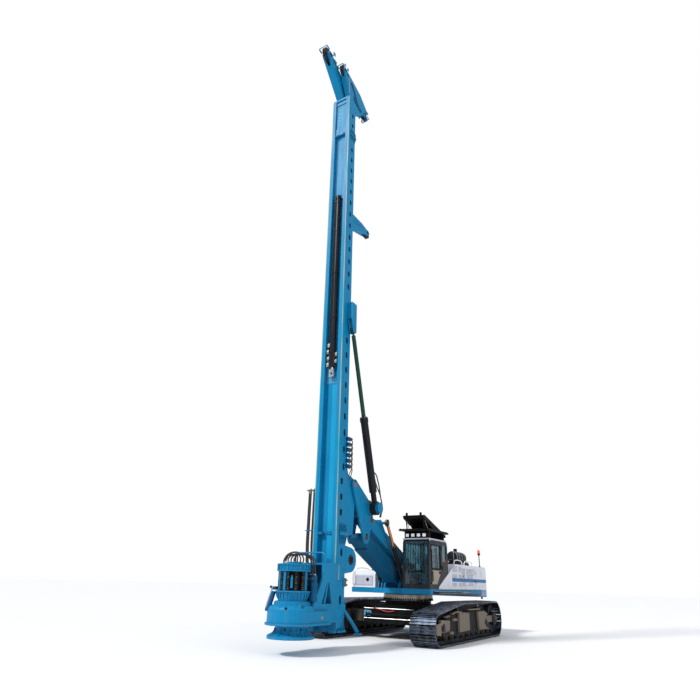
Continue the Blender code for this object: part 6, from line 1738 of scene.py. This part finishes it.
def carriage_fittings():
    """Gusset edge bars, slots and bolts on the carriage."""
    edge_bars, slots, heads = [], [], []
    for side in (-1, 1):
        y = side * 0.47
        outer = y + side * 0.034
        edge_bars.append(outline("edge", upright(((6.16, 1.00), (6.22, 1.00), (6.02, 1.74), (5.96, 1.74))),
            y - side * 0.03, outer, edge=0.004))
        for x in (5.72, 5.80):
            slots.append(outline("slot", [(ahead(x), 1.93), (ahead(x + 0.025), 1.93),
                (ahead(x + 0.085), 2.02), (ahead(x + 0.06), 2.02)], y, outer))
        for z in (1.15, 1.32, 1.49, 1.66, 1.83):
            heads.append(bolt("gusset_bolt", at(5.70, y + side * 0.029, z), (0, side, 0), 0.034, 0.02))
    fit("gusset_edge_bars", edge_bars, "carriage", "blue")
    fit("gusset_marks", slots, "carriage", "zinc")
    fit("gusset_bolts", heads, "carriage", "blue")


spring_cage()
rings()
drive_motors()
drive_hoses()
shroud_fittings()
sleeve_fittings()
carriage_fittings()

# ---------------------------------------------------------------- stage, light and camera

CAMERA_PLACE = at(18.845, 8.868, 1.655)      # standing eye height, ahead and to the cab side
CAMERA_YAW = 31.82                           # degrees from the machine's long axis
CAMERA_PITCH = 23.883                        # tilted up
CAMERA_ROLL = 1.496
CAMERA_LENS = 27.03                          # mm on a 36 mm sensor
CAMERA_SHIFT = 0.004


def stage():
    """Pale floor, a soft sky, a large key light and a fill."""
    bpy.ops.object.select_all(action="DESELECT")
    bpy.ops.mesh.primitive_plane_add(size=400, location=(0, 0, 0))
    floor = bpy.context.object
    floor.name = "floor"
    material, place = blank("pale_floor")
    mottle = node(material, "ShaderNodeTexNoise", {"Vector": place, "Scale": 0.4})
    tone = ramp(material, (mottle, "Fac"), to=(0.86, 0.9))
    surface = node(material, "ShaderNodeBsdfPrincipled", {"Base Color": (tone, "Result"),
        "Roughness": 0.9})
    floor.data.materials.append(close(material, surface))

    # the sky is plain white to the camera, and softer as a light
    world = bpy.data.worlds.new("studio")
    world.use_nodes = True
    world.node_tree.nodes.clear()
    seen = node(world, "ShaderNodeLightPath")
    white = node(world, "ShaderNodeBackground", {"Color": linear("#ffffff"), "Strength": 1.0})
    soft = node(world, "ShaderNodeBackground", {"Color": linear("#f4f8ff"), "Strength": 0.62})
    either = node(world, "ShaderNodeMixShader", {0: (seen, "Is Camera Ray"), 1: (soft, "Background"),
        2: (white, "Background")})
    node(world, "ShaderNodeOutputWorld", {"Surface": (either, "Shader")})
    bpy.context.scene.world = world

    bpy.ops.object.light_add(type="SUN", location=(30, -15, 32))
    key = bpy.context.object
    key.name = "key"
    key.data.energy = 2.6
    key.data.angle = math.radians(9)
    key.rotation_euler = Vector((-0.74, 0.34, -0.74)).to_track_quat("-Z", "Y").to_euler()
    bpy.ops.object.light_add(type="AREA", location=(14, 34, 16))
    fill = bpy.context.object
    fill.name = "fill"
    fill.data.size = 26
    fill.data.energy = 3200
    fill.rotation_euler = Vector((-14, -34, -10)).to_track_quat("-Z", "Y").to_euler()


def camera():
    """Camera on a standing person's eye line."""
    yaw, pitch, roll = (math.radians(a) for a in (CAMERA_YAW, CAMERA_PITCH, CAMERA_ROLL))
    level = Vector((-math.cos(yaw), -math.sin(yaw), 0))
    right = Vector((-math.sin(yaw), math.cos(yaw), 0))
    sight = level * math.cos(pitch) + Vector((0, 0, math.sin(pitch)))
    up = Vector((0, 0, math.cos(pitch))) - level * math.sin(pitch)
    leaned_right = right * math.cos(roll) + up * math.sin(roll)
    leaned_up = up * math.cos(roll) - right * math.sin(roll)
    turn = Matrix((leaned_right, leaned_up, -sight)).transposed()
    bpy.ops.object.camera_add(location=CAMERA_PLACE, rotation=turn.to_euler())
    made = bpy.context.object
    made.data.sensor_width = 36
    made.data.lens = CAMERA_LENS
    made.data.shift_x = CAMERA_SHIFT
    made.data.clip_end = 1000
    bpy.context.scene.camera = made
    bpy.context.scene.view_settings.view_transform = "Standard"


stage()
camera()
